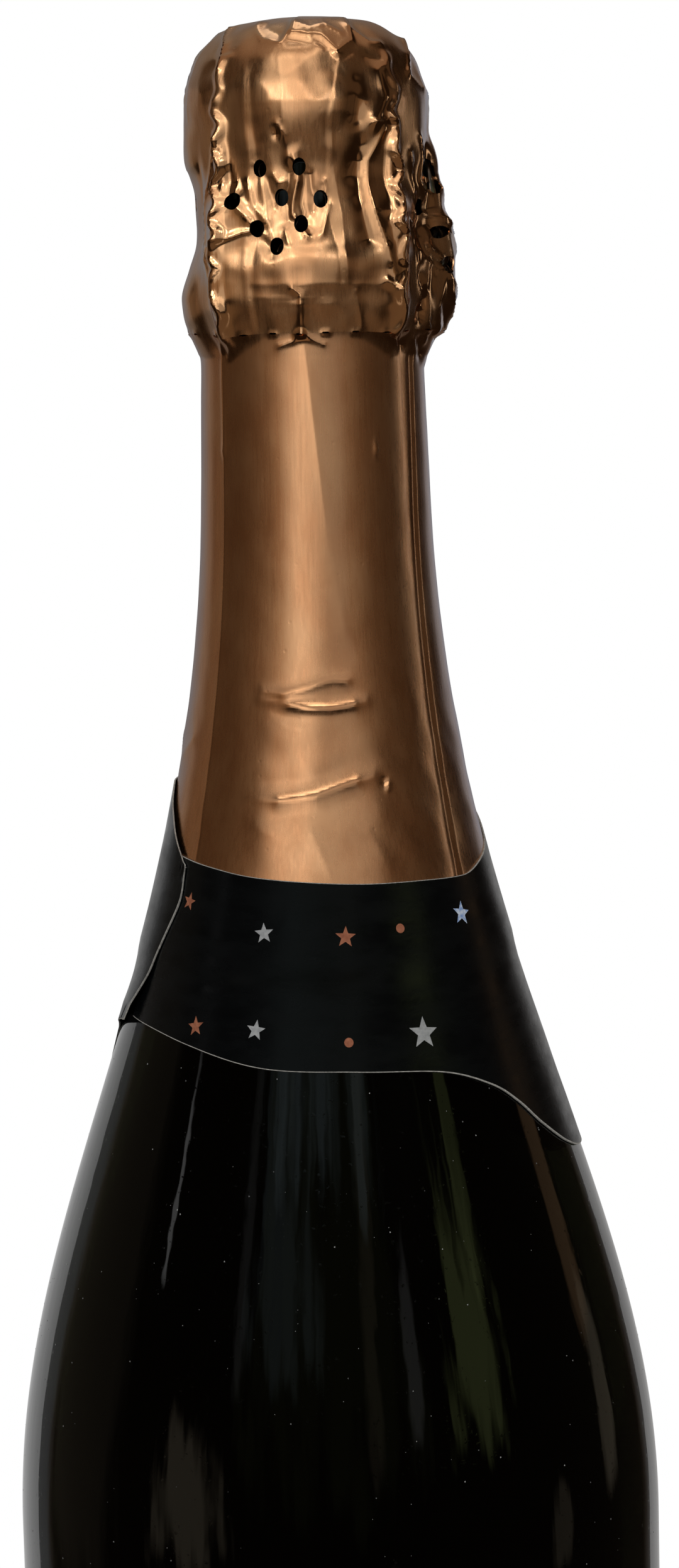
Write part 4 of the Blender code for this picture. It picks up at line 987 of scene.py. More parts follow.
def legRise(azimuth, base, height):
    # taut foil down from a straight crest; the bell on it sways, and swells where a strand comes outside;
    # a plain flat bell keeps each leg covered
    f = foilShape
    pitch = 360.0 / corkShape["legs"]
    leg = np.floor((azimuth + 180) / pitch)
    offset = np.radians((azimuth - corkShape["firstLeg"] + pitch / 2) % pitch - pitch / 2) * base
    twist = math.tau * height / f["lumpPitch"] + leg * f["legPhase"]
    twist = twist + f["wobble"] * np.sin(height * f["wobbleRate"] + leg)
    crest = throughKnots(height, f["legReach"], left=0, right=0)
    taut = f["tautLow"] + (f["tautHigh"] - f["tautLow"]) * smoothStep(height, *f["tautFrom"])
    drape = np.maximum(tautRadius(base, crest, np.abs(offset) / base) - base, 0) * taut
    sway = offset + f["meander"] * np.sin(twist / 2)
    sway = sway + f["drift"] * np.sin(height * f["driftRate"] + leg * f["driftPhase"])
    swell = f["lump"] * np.cos(twist + f["lumpTurn"] * sway) * band(height, *f["lumpShown"])
    bell = np.maximum(crest + f["overLeg"] + swell - base, 0) * np.exp(-(sway / f["crest"]) ** 2)
    cover = np.maximum(crest - f["coverUnder"] - base, 0) * np.exp(-(offset / f["cover"]) ** 6)
    return softPeak([drape, bell, cover], 4)


def ventDistance(azimuth, height, radius, vent):
    # distance from the vent's middle, in shares of its half width and half height
    across = np.radians(awayFrom(azimuth, vent[0])) * radius / foilShape["vent"][0]
    return np.hypot(across, (height - vent[1]) / foilShape["vent"][1])


def bellAt(value, middle, half, power=2):
    # exp(-((value - middle) / half)^power)
    return np.exp(-((value - middle) / half) ** power)


def foilSkin(along):
    # outline point + rise x its normal; rise adds up ridges, folds, dents, flutes and slow waves
    f = foilShape
    t = math.tau * (np.arange(f["columns"]) / f["columns"] - 0.5)
    azimuth = (np.degrees(t - f["bunch"] * np.sin(t)) + f["bunchAzimuth"])[None, :] + np.zeros((len(along), 1))
    base, height = (np.interp(along, foilLengths, foilCurve[:, k])[:, None] + 0 * azimuth for k in (0, 1))
    out, up = (np.interp(along, foilLengths, foilNormal[:, k])[:, None] for k in (0, 1))
    skin = around(base, azimuth, height)
    onHood, onNeck = smoothStep(height, *f["hoodFrom"]), smoothFall(height, *f["neckUpTo"])

    loose = sum(bellAt(awayFrom(azimuth, middle), 0, half, 4) for middle, half in f["loose"])
    inReach = (height > f["front"][0][0]) & (height < f["front"][-1][0])
    drawn = np.where(inReach, (1 - loose) * (throughKnots(height, f["front"]) - base), 0)
    reach = throughKnots(height, f["tabReach"], right=0)
    fromTab = np.maximum(np.abs(awayFrom(azimuth, cageShape["tabAzimuth"])) - f["tabFlat"], 0)
    overTab = ridgeRise(base + drawn, reach, np.radians(fromTab), f["tabTaut"], f["tabHalfWidth"])
    overLeg = legRise(azimuth, base + drawn, height)
    rise = np.maximum(overLeg, overTab)

    folds = creases(azimuth, height, base, foilCreases + strayCreases())
    rise += folds
    flapEdge = lineDistance(azimuth, height, base, crownFlap[1:-1])
    rise += f["flap"] * insideOutline(azimuth, height, crownFlap) * smoothStep(flapEdge, 0, f["flapEdge"])
    nearTab = bellAt(awayFrom(azimuth, f["tabDentMiddle"]), 0, f["tabDentHalf"]) * band(height, *f["tabDentHeights"])
    rise += f["crownDent"] * dents(skin, *f["crownDents"]) * smoothStep(height, *f["crownFrom"])
    rise += (f["hoodDent"] * onHood + f["tabDent"] * nearTab) * dents(skin, *f["hoodDents"])
    rise += onHood * sum(size * waves(skin, length, seed) for size, length, seed in f["hoodWaves"])

    seam = np.array(f["seam"])
    past = np.radians(awayFrom(azimuth, np.interp(height, seam[:, 1], seam[:, 0]))) * base
    lap = f["lap"] * band(past, *f["lapBand"]) - f["groove"] * bellAt(past, f["grooveMiddle"], f["grooveHalf"])
    rise += onNeck * lap
    lowPart = smoothFall(height, *f["lowPart"])
    for size, more, length, seed in f["neckWaves"]:
        rise += onNeck * (size + more * lowPart) * waves(skin, length, seed)
    rise += onNeck * f["flute"] * waves(skin * [1, 1, f["fluteStretch"]], f["fluteLength"], f["fluteSeed"])

    # beside the tear line each slit's lips stand out a little
    fromSlit = np.full(azimuth.shape, 1e9)
    for slit in f["slits"]:
        over = np.maximum(np.abs(awayFrom(azimuth, slit)) - f["slitHalfWidth"] * f["lipSpan"], 0)
        fromSlit = np.minimum(fromSlit, np.hypot(np.radians(over) * base, height - f["tear"]))
    rise += f["lip"] * bellAt(fromSlit, 0, f["lipHalf"])
    for vent in allVents:
        rise -= f["ventDent"] * bellAt(ventDistance(azimuth, height, base, vent), 0, f["ventDentReach"], 4)
    rise *= 1 - f["calm"] * smoothStep(height, *f["calmFrom"])
    polish = smoothStep(np.abs(folds), *f["foldPolish"]) + smoothStep(overLeg, *f["ridgePolish"]) * onHood
    spots = around(base + drawn + out * rise, azimuth, height + up * rise)
    return azimuth, base, height, spots, np.clip(polish, 0, 1)


def slitShare(azimuth):
    # full x (1 - (degrees from the slit's middle / half width)^2), held between 0 and 1
    nearest = np.min([np.abs(awayFrom(azimuth, slit)) for slit in foilShape["slits"]], axis=0)
    return np.clip(foilShape["slitFull"] * (1 - (nearest / foilShape["slitHalfWidth"]) ** 2), 0, 1)


def rowLengths(density, rows):
    # the table's heights at even steps, as lengths along the outline
    table = np.array(density)
    heights = np.interp(np.linspace(0, 1, rows), table[:, 0], table[:, 1])
    return np.interp(heights, foilCurve[:, 1], foilLengths)


def store(piece, name, values):
    # one number for each vertex, for the materials to read
    piece.data.attributes.new(name, "FLOAT", "POINT").data.foreach_set("value", values.astype(np.float32))


def thicken(piece, thick, offset, rimLook=0):
    # a sheet of that thickness, outwards from the surface at offset 1 and inwards at -1
    shell = piece.modifiers.new("thickness", "SOLIDIFY")
    shell.thickness, shell.offset, shell.material_offset_rim = thick * mm, offset, rimLook
    return piece


def buildSleeve():
    # the skin below the tear line, its upper edge cut back at each slit
    f = foilShape
    azimuth, base, height, spots, polish = foilSkin(rowLengths(f["sleeveDensity"], f["sleeveRows"]))
    spots[-1, :, 2] -= f["sleeveSlit"] * slitShare(azimuth[-1])
    quads = gridQuads(f["sleeveRows"], f["columns"])
    sleeve = makePiece("foilSleeve", spots.reshape(-1, 3), [quads], [sleeveFoil], 180)
    store(sleeve, "polish", polish.reshape(-1))
    return thicken(sleeve, f["thick"], -1)


def buildHood():
    # the skin above the tear line, closed at the crown, with its vents punched out
    f = foilShape
    azimuth, base, height, spots, polish = foilSkin(rowLengths(f["hoodDensity"], f["hoodRows"]))
    spots[0, :, 2] += f["tearGap"] + f["hoodSlit"] * slitShare(azimuth[0])

    # vents: faces inside go, and the corners left round each hole move onto its outline
    columns, rows = f["columns"], f["hoodRows"]
    spots, ring = spots.reshape(-1, 3), gridQuads(rows, columns)
    azimuth, base, height = azimuth.reshape(-1), base.reshape(-1), height.reshape(-1)
    shares = np.stack([ventDistance(azimuth, height, base, vent) for vent in allVents])
    middles, share = np.array(allVents)[shares.argmin(axis=0)], shares.min(axis=0)
    holed = (share < 1)[ring].any(axis=1)
    onEdge = np.zeros(azimuth.size, bool)
    onEdge[ring[holed].reshape(-1)] = True
    pull = np.where(onEdge & (share >= 1), 1 - 1 / np.maximum(share, 1e-6), 0)
    turn = -np.radians(awayFrom(azimuth, middles[:, 0])) * pull
    spots = np.stack([spots[:, 0] * np.cos(turn) - spots[:, 1] * np.sin(turn),
                      spots[:, 0] * np.sin(turn) + spots[:, 1] * np.cos(turn),
                      spots[:, 2] - (height - middles[:, 1]) * pull], axis=-1)
    top = capFan(np.arange(columns) + (rows - 1) * columns, len(spots))
    pole = [0, 0, spots[-columns:, 2].mean() + f["crownRise"]]
    spots, ring = np.vstack([spots, pole]), ring[~holed]
    used = np.zeros(len(spots), bool)
    used[ring.reshape(-1)] = used[top.reshape(-1)] = True
    number = np.cumsum(used) - 1
    hood = makePiece("foilHood", spots[used], [number[ring], number[top]], [hoodFoil], 180)
    store(hood, "polish", np.append(polish.reshape(-1), 0)[used])
    return thicken(hood, f["thick"], -1)


foilCurve, foilLengths, foilNormal = foilOutline()
standOn(buildHood(), "hood", "foil_hood")
standOn(buildSleeve(), "bottle", "foil_sleeve")
print("foil made")

# neck label and its print

neckLabel = {
    "columns": 420, "rows": 26, "paper": 0.2, "gap": 0.12, "foil": 0.32, "overFoil": 0.12, "step": (192, 196),
    "start": -71, "lapRise": (269, 285), "lift": 0.34, "cut": 0.09, "middleRadius": 24, "corner": 1.1,
    "cornerFrom": 0.94, "cornerTall": 0.22, "ripple": 0.03, "rippleLength": 12, "rippleSeed": 41,
    "rippleFrom": (0.01, 0.05),
    # (azimuth, height) of both edges, and (share of the way up, azimuth) of the end that laps over the start
    "top": [(-71, 208.9), (-60.5, 208.5), (-44.7, 207.8), (-25.6, 206.9), (-3.5, 206.3), (13.8, 205.9),
            (31.7, 205.7), (50, 205.4), (58, 205.5), (67.2, 206.4), (76.9, 207.4), (88, 208.9), (104, 212.2),
            (122, 215.6), (150, 217), (200, 217.1), (262, 217.1), (276, 216.8), (286, 213.8), (294, 210.9),
            (302, 208.2), (306, 206.6)],
    "bottom": [(-71, 186.5), (-56, 186), (-40.8, 184.9), (-17.7, 182.9), (7, 182.4), (30, 181.4),
               (44.6, 178.7), (53.2, 175.6), (60.7, 171.9), (71.2, 168.2), (84, 166.3), (110, 166),
               (200, 166), (245, 169), (262, 178), (272, 183.6), (284, 185.8), (290, 186.2), (300, 186.6),
               (306, 187)],
    "end": [(0, 288.3), (0.17, 293.2), (0.48, 299.8), (0.79, 305.2), (1, 304.6)],
}


def labelRadius(azimuth, height):
    # inner side of the paper: on the glass, and stepped out where it goes over the foil
    n = neckLabel
    step = n["foil"] - n["gap"] + n["overFoil"]
    return glassRadius(height) + n["gap"] + step * smoothStep(height, *n["step"])


def buildNeckLabel():
    # across runs along the strip and up runs from its lower to its upper edge; the end laps over the start,
    # one corner stands off, and a narrow row along each edge shows the paper's cut
    n = neckLabel
    across = np.linspace(0, 1, n["columns"])[None, :]
    up = np.linspace(0, 1, n["rows"])[:, None]
    end = throughKnots(up, n["end"])
    azimuth = n["start"] + (end - n["start"]) * across
    low, high = throughKnots(azimuth, n["bottom"]), throughKnots(azimuth, n["top"])
    height = low + (high - low) * up
    height[1], height[-2] = height[0] + n["cut"], height[-1] - n["cut"]
    azimuth[:, -2] = azimuth[:, -1] - math.degrees(n["cut"] / n["middleRadius"])
    lap = n["lift"] * smoothStep(azimuth, *n["lapRise"])
    corner = n["corner"] * smoothStep(across, n["cornerFrom"], 1) * bellAt(up, 0, n["cornerTall"])
    ripple = n["ripple"] * waves(around(n["middleRadius"], azimuth, height), n["rippleLength"], n["rippleSeed"])
    radius = labelRadius(azimuth, height) + np.abs(ripple * smoothStep(across, *n["rippleFrom"])) + lap + corner
    spots = around(radius, azimuth, height).reshape(-1, 3)
    layout = np.stack(np.broadcast_arrays(across, up), axis=-1).reshape(-1, 2)
    quads = gridQuads(n["rows"], n["columns"], wrapColumns=False)
    label = makePiece("neckLabelPaper", spots, [quads], [labelPaper, plain["paperEdge"]], 180, layout)
    row, column = np.divmod(np.arange(len(quads)), n["columns"] - 1)
    cut = (row == 0) | (row == n["rows"] - 2) | (column == n["columns"] - 2)
    label.data.polygons.foreach_set("material_index", cut.astype(np.int32))
    return thicken(label, n["paper"], 1, 1)


dustShape = {"count": 900, "seed": 12, "low": 18, "high": 200, "small": 0.035, "large": 0.12, "spread": 0.8,
             "stand": 0.004, "thick": 0.02, "straight": 125, "clear": 0.06, "points": 3, "inner": 0.6}
printShape = {
    "stand": 0.035, "thick": 0.03, "points": 5, "inner": 0.42, "dotCorners": 12,
    "stars": [  # azimuth, height, radius, turn, look
        (-50.3, 203, 1.2, 8, "copper"), (-19.6, 199.9, 1.35, -6, "silver"), (5.9, 199.4, 1.4, 4, "copper"),
        (48.4, 200.7, 1.6, 12, "blueSilver"), (-39.3, 187.5, 1.3, -10, "copper"),
        (-20.2, 187.7, 1.35, 6, "silver"), (26.4, 186.6, 2.1, 5, "silver"),
        (112, 204, 1.4, 10, "copper"), (128, 188, 1.6, -8, "silver"), (147, 207.5, 1.3, 3, "silver"),
        (158, 179, 1.4, -5, "copper"), (204, 205.5, 1.5, 9, "copper"), (222, 182, 1.4, -6, "silver"),
        (244, 202, 1.3, 12, "silver"), (256, 190, 1.4, 0, "copper"),
        (165, 64, 6.5, 0, "copper"), (141, 77, 2, 8, "silver"), (152, 84.5, 1.5, -6, "copper"),
        (189, 77, 2, -8, "silver"), (130, 65, 1.5, 4, "copper"), (200, 65, 1.5, -4, "copper"),
        (145, 50, 1.7, -5, "silver"), (165, 43, 1.5, 6, "copper"), (186, 50, 1.7, 5, "silver"),
        (-15, 74, 2.4, 0, "copper"), (-25, 36, 1.4, 6, "silver"), (-7, 36, 1.4, -6, "silver")],
    "dots": [(23.6, 200, 0.6), (5.3, 186.2, 0.6), (120, 196.5, 0.6), (214, 193, 0.6),
             (236, 211, 0.6), (142, 172.5, 0.6), (171, 82, 0.8), (136, 56, 0.8), (194, 56, 0.8),
             (-24, 73, 0.7), (-7, 73, 0.7), (-15, 36, 0.7)],
}


def starOutline(points, size, inner, turn):
    # two corners to a point, one at the full size and one at the inner share of it
    angle = np.radians(turn) + np.arange(2 * points) * math.pi / points
    reach = np.where(np.arange(2 * points) % 2 == 0, size, size * inner)
    return np.c_[reach * np.sin(angle), reach * np.cos(angle)]


def ringQuads(low, high):
    # a quad from each side of one ring to the next ring
    return np.stack([low, np.roll(low, -1), np.roll(high, -1), high], axis=-1)


def stampPiece(name, shapes, surface, look, thick):
    # each outline, at its middle, pressed onto the surface: a fan of rings on top and a wall round it
    spots, quads, fans, first = [], [], [], 0
    for outline, azimuth, height in shapes:
        count = len(outline)
        rings = np.vstack([outline, outline, outline * 0.5, [(0, 0)], outline * 0.5, [(0, 0)]])
        lifts = np.r_[np.zeros(count), np.full(2 * count + 1, thick), np.zeros(count + 1)]
        high = height + rings[:, 1]
        radius = surface(azimuth, high)
        spots.append(around(radius + lifts, azimuth + np.degrees(rings[:, 0] / radius), high))
        low, up, half = (first + k * count + np.arange(count) for k in range(3))
        middle, under = first + 3 * count, first + 3 * count + 1 + np.arange(count)
        quads += [ringQuads(low, up)[:, ::-1], ringQuads(up, half)[:, ::-1], ringQuads(low, under)]
        fans += [capFan(half, middle)[:, ::-1], capFan(under, first + 4 * count + 1)]
        first += 4 * count + 2
    return makePiece(name, np.vstack(spots), [np.vstack(quads), np.vstack(fans)], [look])


def dustedSurface(azimuth, height):
    # just off the glass
    return glassRadius(height) + dustShape["stand"]


def buildDust():
    # flecks scattered over the glass, many small and few large: size = small / (1 - spread x random share)
    d = dustShape
    draw = np.random.default_rng(d["seed"])
    shapes = []
    for azimuth, share, part, turn in draw.uniform(0, 1, (d["count"], 4)):
        height = d["low"] + (d["high"] - d["low"]) * share
        size = min(d["small"] / (1 - d["spread"] * part), d["large"])
        if height < d["straight"] and abs(math.cos(math.tau * azimuth)) < d["clear"]:
            continue  # here they would widen the bottle
        shapes.append((starOutline(d["points"], size, d["inner"], 360 * turn), 360 * azimuth, height))
    piece = stampPiece("glassDust", shapes, dustedSurface, plain["paleDust"], d["thick"])
    standOn(piece, "bottle")


def printedSurface(azimuth, height):
    # the paper's outer side: the neck label's, and below it the body labels'
    onNeck = labelRadius(azimuth, height) + neckLabel["paper"]
    onBody = glassShape["body"] + bodyLabels["stand"] + bodyLabels["paper"]
    return np.where(height > bodyLabels["under"], onNeck, onBody) + printShape["stand"]


def buildPrint():
    # five-pointed stars and round dots, one piece for each look
    p = printShape
    for key in ("copper", "silver", "blueSilver"):
        shapes = [(starOutline(p["points"], size, p["inner"], turn), azimuth, height)
                  for azimuth, height, size, turn, kind in p["stars"] if kind == key]
        if key == "copper":
            shapes += [(starOutline(p["dotCorners"], size, 1.0, 0), azimuth, height)
                       for azimuth, height, size in p["dots"]]
        piece = stampPiece("labelPrint_" + key, shapes, printedSurface, plain[key + "Print"], p["thick"])
        standOn(piece, "bottle")


standOn(buildNeckLabel(), "bottle", "neck_label")
buildDust()
print("neck label made")

# body labels

bodyLabels = {
    "stand": 0.11, "paper": 0.2, "low": 24, "under": 120, "columns": 97, "rows": 41,
    "sheets": [("front", 165, 92, 72, 3), ("back", -15, 52, 62, 2.5)],  # azimuth, width, height, corner
}


def buildBodyLabel(name, azimuth, width, tall, corner):
    # a rectangle wrapped on the straight side; each square corner of the grid is drawn in to a quarter circle
    b = bodyLabels
    u, v = np.linspace(-1, 1, b["columns"])[None, :], np.linspace(-1, 1, b["rows"])[:, None]
    x, y = u * width / 2 + 0 * v, v * tall / 2 + 0 * u
    overX, overY = np.abs(x) - (width / 2 - corner), np.abs(y) - (tall / 2 - corner)
    inCorner = (overX > 0) & (overY > 0)
    scale = np.maximum(overX, overY) / np.maximum(np.hypot(overX, overY), 1e-9)
    x = np.where(inCorner, np.sign(x) * (width / 2 - corner + overX * scale), x)
    y = np.where(inCorner, np.sign(y) * (tall / 2 - corner + overY * scale), y)
    radius = glassShape["body"] + b["stand"]
    spots = around(radius, azimuth + np.degrees(x / radius), b["low"] + tall / 2 + y).reshape(-1, 3)
    layout = np.stack([x, y], axis=-1).reshape(-1, 2)
    quads = gridQuads(b["rows"], b["columns"], wrapColumns=False)
    label = makePiece(name + "LabelPaper", spots, [quads], [labelPaper, plain["paperEdge"]], 180, layout)
    return thicken(label, b["paper"], 1, 1)


for name, azimuth, width, tall, corner in bodyLabels["sheets"]:
    standOn(buildBodyLabel(name, azimuth, width, tall, corner), "bottle", name + "_label")
buildPrint()
print("body labels and print made")

# camera

cameraSet = {"distance": 490, "height": 286, "pitch": 8.12, "roll": 1.447, "focal": 5806, "frameHeight": 2495,
             "axisLeft": 27.14, "sensor": 36.0}


def stand(name, data, right, up, back, spot):
    # shows the camera or lamp at the spot, in metres, looking against the back direction
    thing = bpy.data.objects.new(name, data)
    matrix = np.eye(4)
    matrix[:3, :3], matrix[:3, 3] = np.stack([right, up, back], axis=-1), spot
    thing.matrix_world = Matrix(matrix.tolist())
    scene.collection.objects.link(thing)
    return thing


def buildCamera():
    # looks along +Y and down by the pitch, then rolls so that the bottle leans as in the photo
    c = cameraSet
    data = bpy.data.cameras.new("photoCamera")
    data.sensor_fit, data.sensor_height = "VERTICAL", c["sensor"]
    data.lens, data.shift_x = c["focal"] / c["frameHeight"] * c["sensor"], c["axisLeft"] / c["frameHeight"]
    data.clip_start, data.clip_end = 0.01, 50.0
    pitch, roll = math.radians(c["pitch"]), math.radians(c["roll"])
    right, up = np.array([1.0, 0, 0]), np.array([0, math.sin(pitch), math.cos(pitch)])
    back = np.cross(right, up)
    right, up = right * math.cos(roll) - up * math.sin(roll), right * math.sin(roll) + up * math.cos(roll)
    scene.camera = stand("photoCamera", data, right, up, back, (0, -c["distance"] * mm, c["height"] * mm))


# studio

studio = {
    "fill": 0.45, "floor": 600, "floorRings": 12, "floorSpokes": 48, "fade": (0.07, 0.26), "fadeLow": 0.35,
    # the ball that only gloss sees: its radiance in front, behind, above and below, and where they change
    "wall": 1.5, "middle": 250, "columns": 240, "rows": 89, "poleGap": 2, "front": 0.015, "rear": 0.2,
    "rearLow": 0.15, "top": 0.26, "below": 0.015, "rearRise": (3, 12), "rearLeft": (122, 129),
    "rearRight": (136, 146), "rearRightShare": 0.8, "belowRise": (9, 16), "belowSide": (50, 80),
    "topRise": (42, 55), "plainFrom": (0.1, 0.5), "warm": (1.0, 0.68, 0.48),
}


def buildWorld():
    # white where the camera, gloss or glass looks, and dimmer as the light on rough surfaces
    world = scene.world = bpy.data.worlds.new("studioWorld")
    world.use_nodes = True
    add, light = nodeMaker(world.node_tree), world.node_tree.nodes["Background"]
    rays = add("LightPath").outputs
    seen = rays["Is Camera Ray"]
    for ray in ("Is Glossy Ray", "Is Transmission Ray"):
        seen = calculate(add, "MAXIMUM", seen, rays[ray])
    world.node_tree.links.new(spread(add, seen, studio["fill"], 1.0, 0, 1), light.inputs["Strength"])
    light.inputs["Color"].default_value = (1, 1, 1, 1)


def buildFloor():
    # a pale disc, which glows white towards its edge for the camera
    s = studio
    look, add, join = newLook("studioFloor", {
        "Base Color": (0.8, 0.8, 0.8, 1), "Roughness": 0.9, "Specular IOR Level": 0.1})
    nodes, links = look.node_tree.nodes, look.node_tree.links
    length = add("VectorMath", {0: add("TexCoord").outputs["Object"]}, operation="LENGTH").outputs["Value"]
    glowing = spread(add, spread(add, length, 0, 1, *s["fade"]), s["fadeLow"], 1.0, 0, 1)
    cameraOnly = calculate(add, "MULTIPLY", add("LightPath").outputs["Is Camera Ray"], glowing)
    glow = add("Emission", {"Color": (1, 1, 1, 1), "Strength": 1.0}).outputs[0]
    mix = add("MixShader", {0: cameraOnly, 1: nodes["Principled BSDF"].outputs[0], 2: glow})
    links.new(mix.outputs[0], nodes["Material Output"].inputs["Surface"])
    rings, spokes = s["floorRings"], s["floorSpokes"]
    reach = np.linspace(0, s["floor"], rings + 1)[1:, None]
    spots = around(reach, np.arange(spokes)[None, :] * 360 / spokes, 0 * reach).reshape(-1, 3)
    faces = [gridQuads(rings, spokes)[:, ::-1], capFan(np.arange(spokes), len(spots))]
    board = makePiece("floorBoard", np.vstack([spots, [0, 0, 0]]), faces, [look])
    board.visible_glossy = False


def wallShade(azimuth, tall):
    # the ball's colour: a dim warm front and underside, pale panels behind and a soft top
    s = studio
    rear = s["rearLow"] + (s["rear"] - s["rearLow"]) * smoothStep(tall, *s["rearRise"])
    behind = np.maximum(smoothStep(-azimuth, *s["rearLeft"]),
                        s["rearRightShare"] * smoothStep(azimuth, *s["rearRight"]))
    low = smoothStep(-tall, *s["belowRise"]) * smoothFall(np.abs(azimuth), *s["belowSide"])
    front = s["front"] + (s["below"] - s["front"]) * low
    level = front + (rear - front) * behind
    level = level + (s["top"] - level) * smoothStep(tall, *s["topRise"])
    neutral = np.maximum(smoothStep(level, *s["plainFrom"]), behind)[..., None]
    return level[..., None] * (neutral + (1 - neutral) * np.array(s["warm"]))


def buildWall():
    # a ball round the bottle, seen only in its gloss
    s = studio
    rows, columns = s["rows"], s["columns"]
    azimuth, tall = np.broadcast_arrays(np.arange(columns)[None, :] * 360 / columns - 180,
                                        np.linspace(s["poleGap"] - 90, 90 - s["poleGap"], rows)[:, None])
    shade, turn, far = wallShade(azimuth, tall), np.radians(tall), s["wall"] / mm
    spots = around(far * np.cos(turn), azimuth, s["middle"] + far * np.sin(turn)).reshape(-1, 3)
    colours = np.vstack([shade.reshape(-1, 3), shade[:1, 0], shade[-1:, 0]])
    poles = [[0, 0, s["middle"] - far], [0, 0, s["middle"] + far]]
    faces = [gridQuads(rows, columns)[:, ::-1], capFan(np.arange(columns), len(spots)),
             capFan(np.arange(columns) + (rows - 1) * columns, len(spots) + 1)[:, ::-1]]
    look = bpy.data.materials.new("studioWall")
    look.use_nodes = True
    tree = look.node_tree
    tree.nodes.remove(tree.nodes["Principled BSDF"])
    add = nodeMaker(tree)
    glow = add("Emission", {"Color": add("Attribute", attribute_name="shade").outputs["Color"]})
    tree.links.new(glow.outputs[0], tree.nodes["Material Output"].inputs["Surface"])
    wall = makePiece("studioWall", np.vstack([spots, poles]), faces, [look])
    stored = wall.data.attributes.new("shade", "FLOAT_COLOR", "POINT")
    stored.data.foreach_set("color", np.c_[colours, np.ones(len(colours))].astype(np.float32).ravel())
    for ray in ("camera", "diffuse", "transmission", "volume_scatter", "shadow"):
        setattr(wall, "visible_" + ray, False)


# lamps

lampShape = {
    "far": 1.2, "aim": 0.27, "foilRise": (-9.5, 12.0), "sideways": 140, "bright": 0.3, "plainTall": 60,
    "streakWide": 8, "streakTall": 24, "edge": 0.55, "leaves": (0.35, 0.65),
}
tints = {"plain": (1, 1, 1), "cool": (0.7, 1.0, 1.45), "dusk": (1.0, 0.76, 0.55), "brown": (1.0, 0.6, 0.32),
         "leaf": (0.85, 1.0, 0.4), "teal": (0.75, 0.95, 1.0), "earth": (1.0, 0.85, 0.62)}
# soft boxes that only the foil mirrors: azimuth, width in degrees, radiance
foilBoxes = [
    (-154, 28, 0.09), (154, 28, 0.25), (-130, 20, 0.1), (-112, 12, 0.2), (-90, 16, 0.06), (-74, 14, 0.07),
    (-60, 14, 0.085), (-48, 12, 0.13), (-37, 10, 0.26), (-27, 10, 0.5), (-17, 10, 1.1), (-7, 10, 0.92),
    (3, 10, 0.36), (14, 12, 0.36), (26, 12, 0.33), (37, 10, 0.16), (48, 12, 0.1), (62, 14, 0.07),
    (79, 14, 0.05), (103, 5, 1)]
# soft shapes higher up and below, for the hood alone and for the sleeve's flare and wrinkles alone:
# azimuth, elevation, width and height in degrees, radiance
highBoxes = {
    "hood": [
        (-6, 12, 66, 12, 0.35), (-6, 24, 76, 22, 0.5), (-34, 18, 8, 10, 5), (22, 18, 8, 9, 4.5),
        (-14, 36, 60, 44, 0.5), (-10, 40, 40, 34, 0.4), (-8, 58, 44, 22, 0.8), (-17, 19, 12, 8, 5),
        (8, 24, 5, 20, 2.5), (-42, 24, 5, 22, 2.5), (75, 30, 50, 30, 0.05), (-95, 30, 60, 30, 0.05),
        (0, 84, 30, 10, 1.2), (180, 68, 16, 30, 1), (-6, -33, 8, 16, 0.3), (0, -40, 110, 50, 0.12),
        (0, 0, 110, 26, 0.03)],
    "sleeve": [
        (5, 20, 110, 20, 0.46), (-32, 17, 44, 24, 0.45), (2, 43, 66, 14, 3.8), (-4, -33, 40, 16, 0.2),
        (60, 24, 26, 24, 0.07), (-75, 24, 50, 24, 0.1), (0, 84, 30, 10, 1), (180, 68, 16, 30, 1)],
}
# dim soft shapes that everything but the foil mirrors: the same, with a tint and how ragged the edges are
glassBoxes = [
    (-158, 5, 44, 80, 0.4, "plain", 0), (162, 5, 34, 80, 0.33, "plain", 0), (-106, -4, 50, 58, 0.045, "earth", 0.3),
    (-54, -13, 38, 26, 0.26, "earth", 0.8), (54, 3, 36, 30, 0.3, "leaf", 0.9), (60, 14, 9, 22, 0.18, "leaf", 0.6),
    (110, 1, 12, 20, 0.22, "brown", 0.2), (112, -12, 12, 20, 0.19, "earth", 0.5), (28, 5, 7, 22, 0.16, "plain", 0.5),
    (13, 8, 9, 40, 0.08, "earth", 0.7), (-38, 11, 6, 26, 0.08, "plain", 0.8), (-74, 8, 2.5, 9, 0.8, "plain", 0.6),
    (-20, 11, 44, 24, 0.11, "teal", 0.9), (-6, 22, 70, 16, 0.22, "teal", 0.9), (84, -20, 14, 14, 0.13, "earth", 0.9),
    (20, -25, 16, 14, 0.22, "earth", 0.9), (-2, 6, 90, 50, 0.025, "leaf", 0.7)]
# lamps that light everything and that nothing mirrors: name, azimuth, elevation, distance, side, radiance
softLamps = [("softLeft", -25, 35, 1.3, 0.9, 1.6), ("softRight", 40, 30, 1.3, 0.8, 1.0),
             ("softTop", 180, 70, 1.3, 1.0, 1.2)]


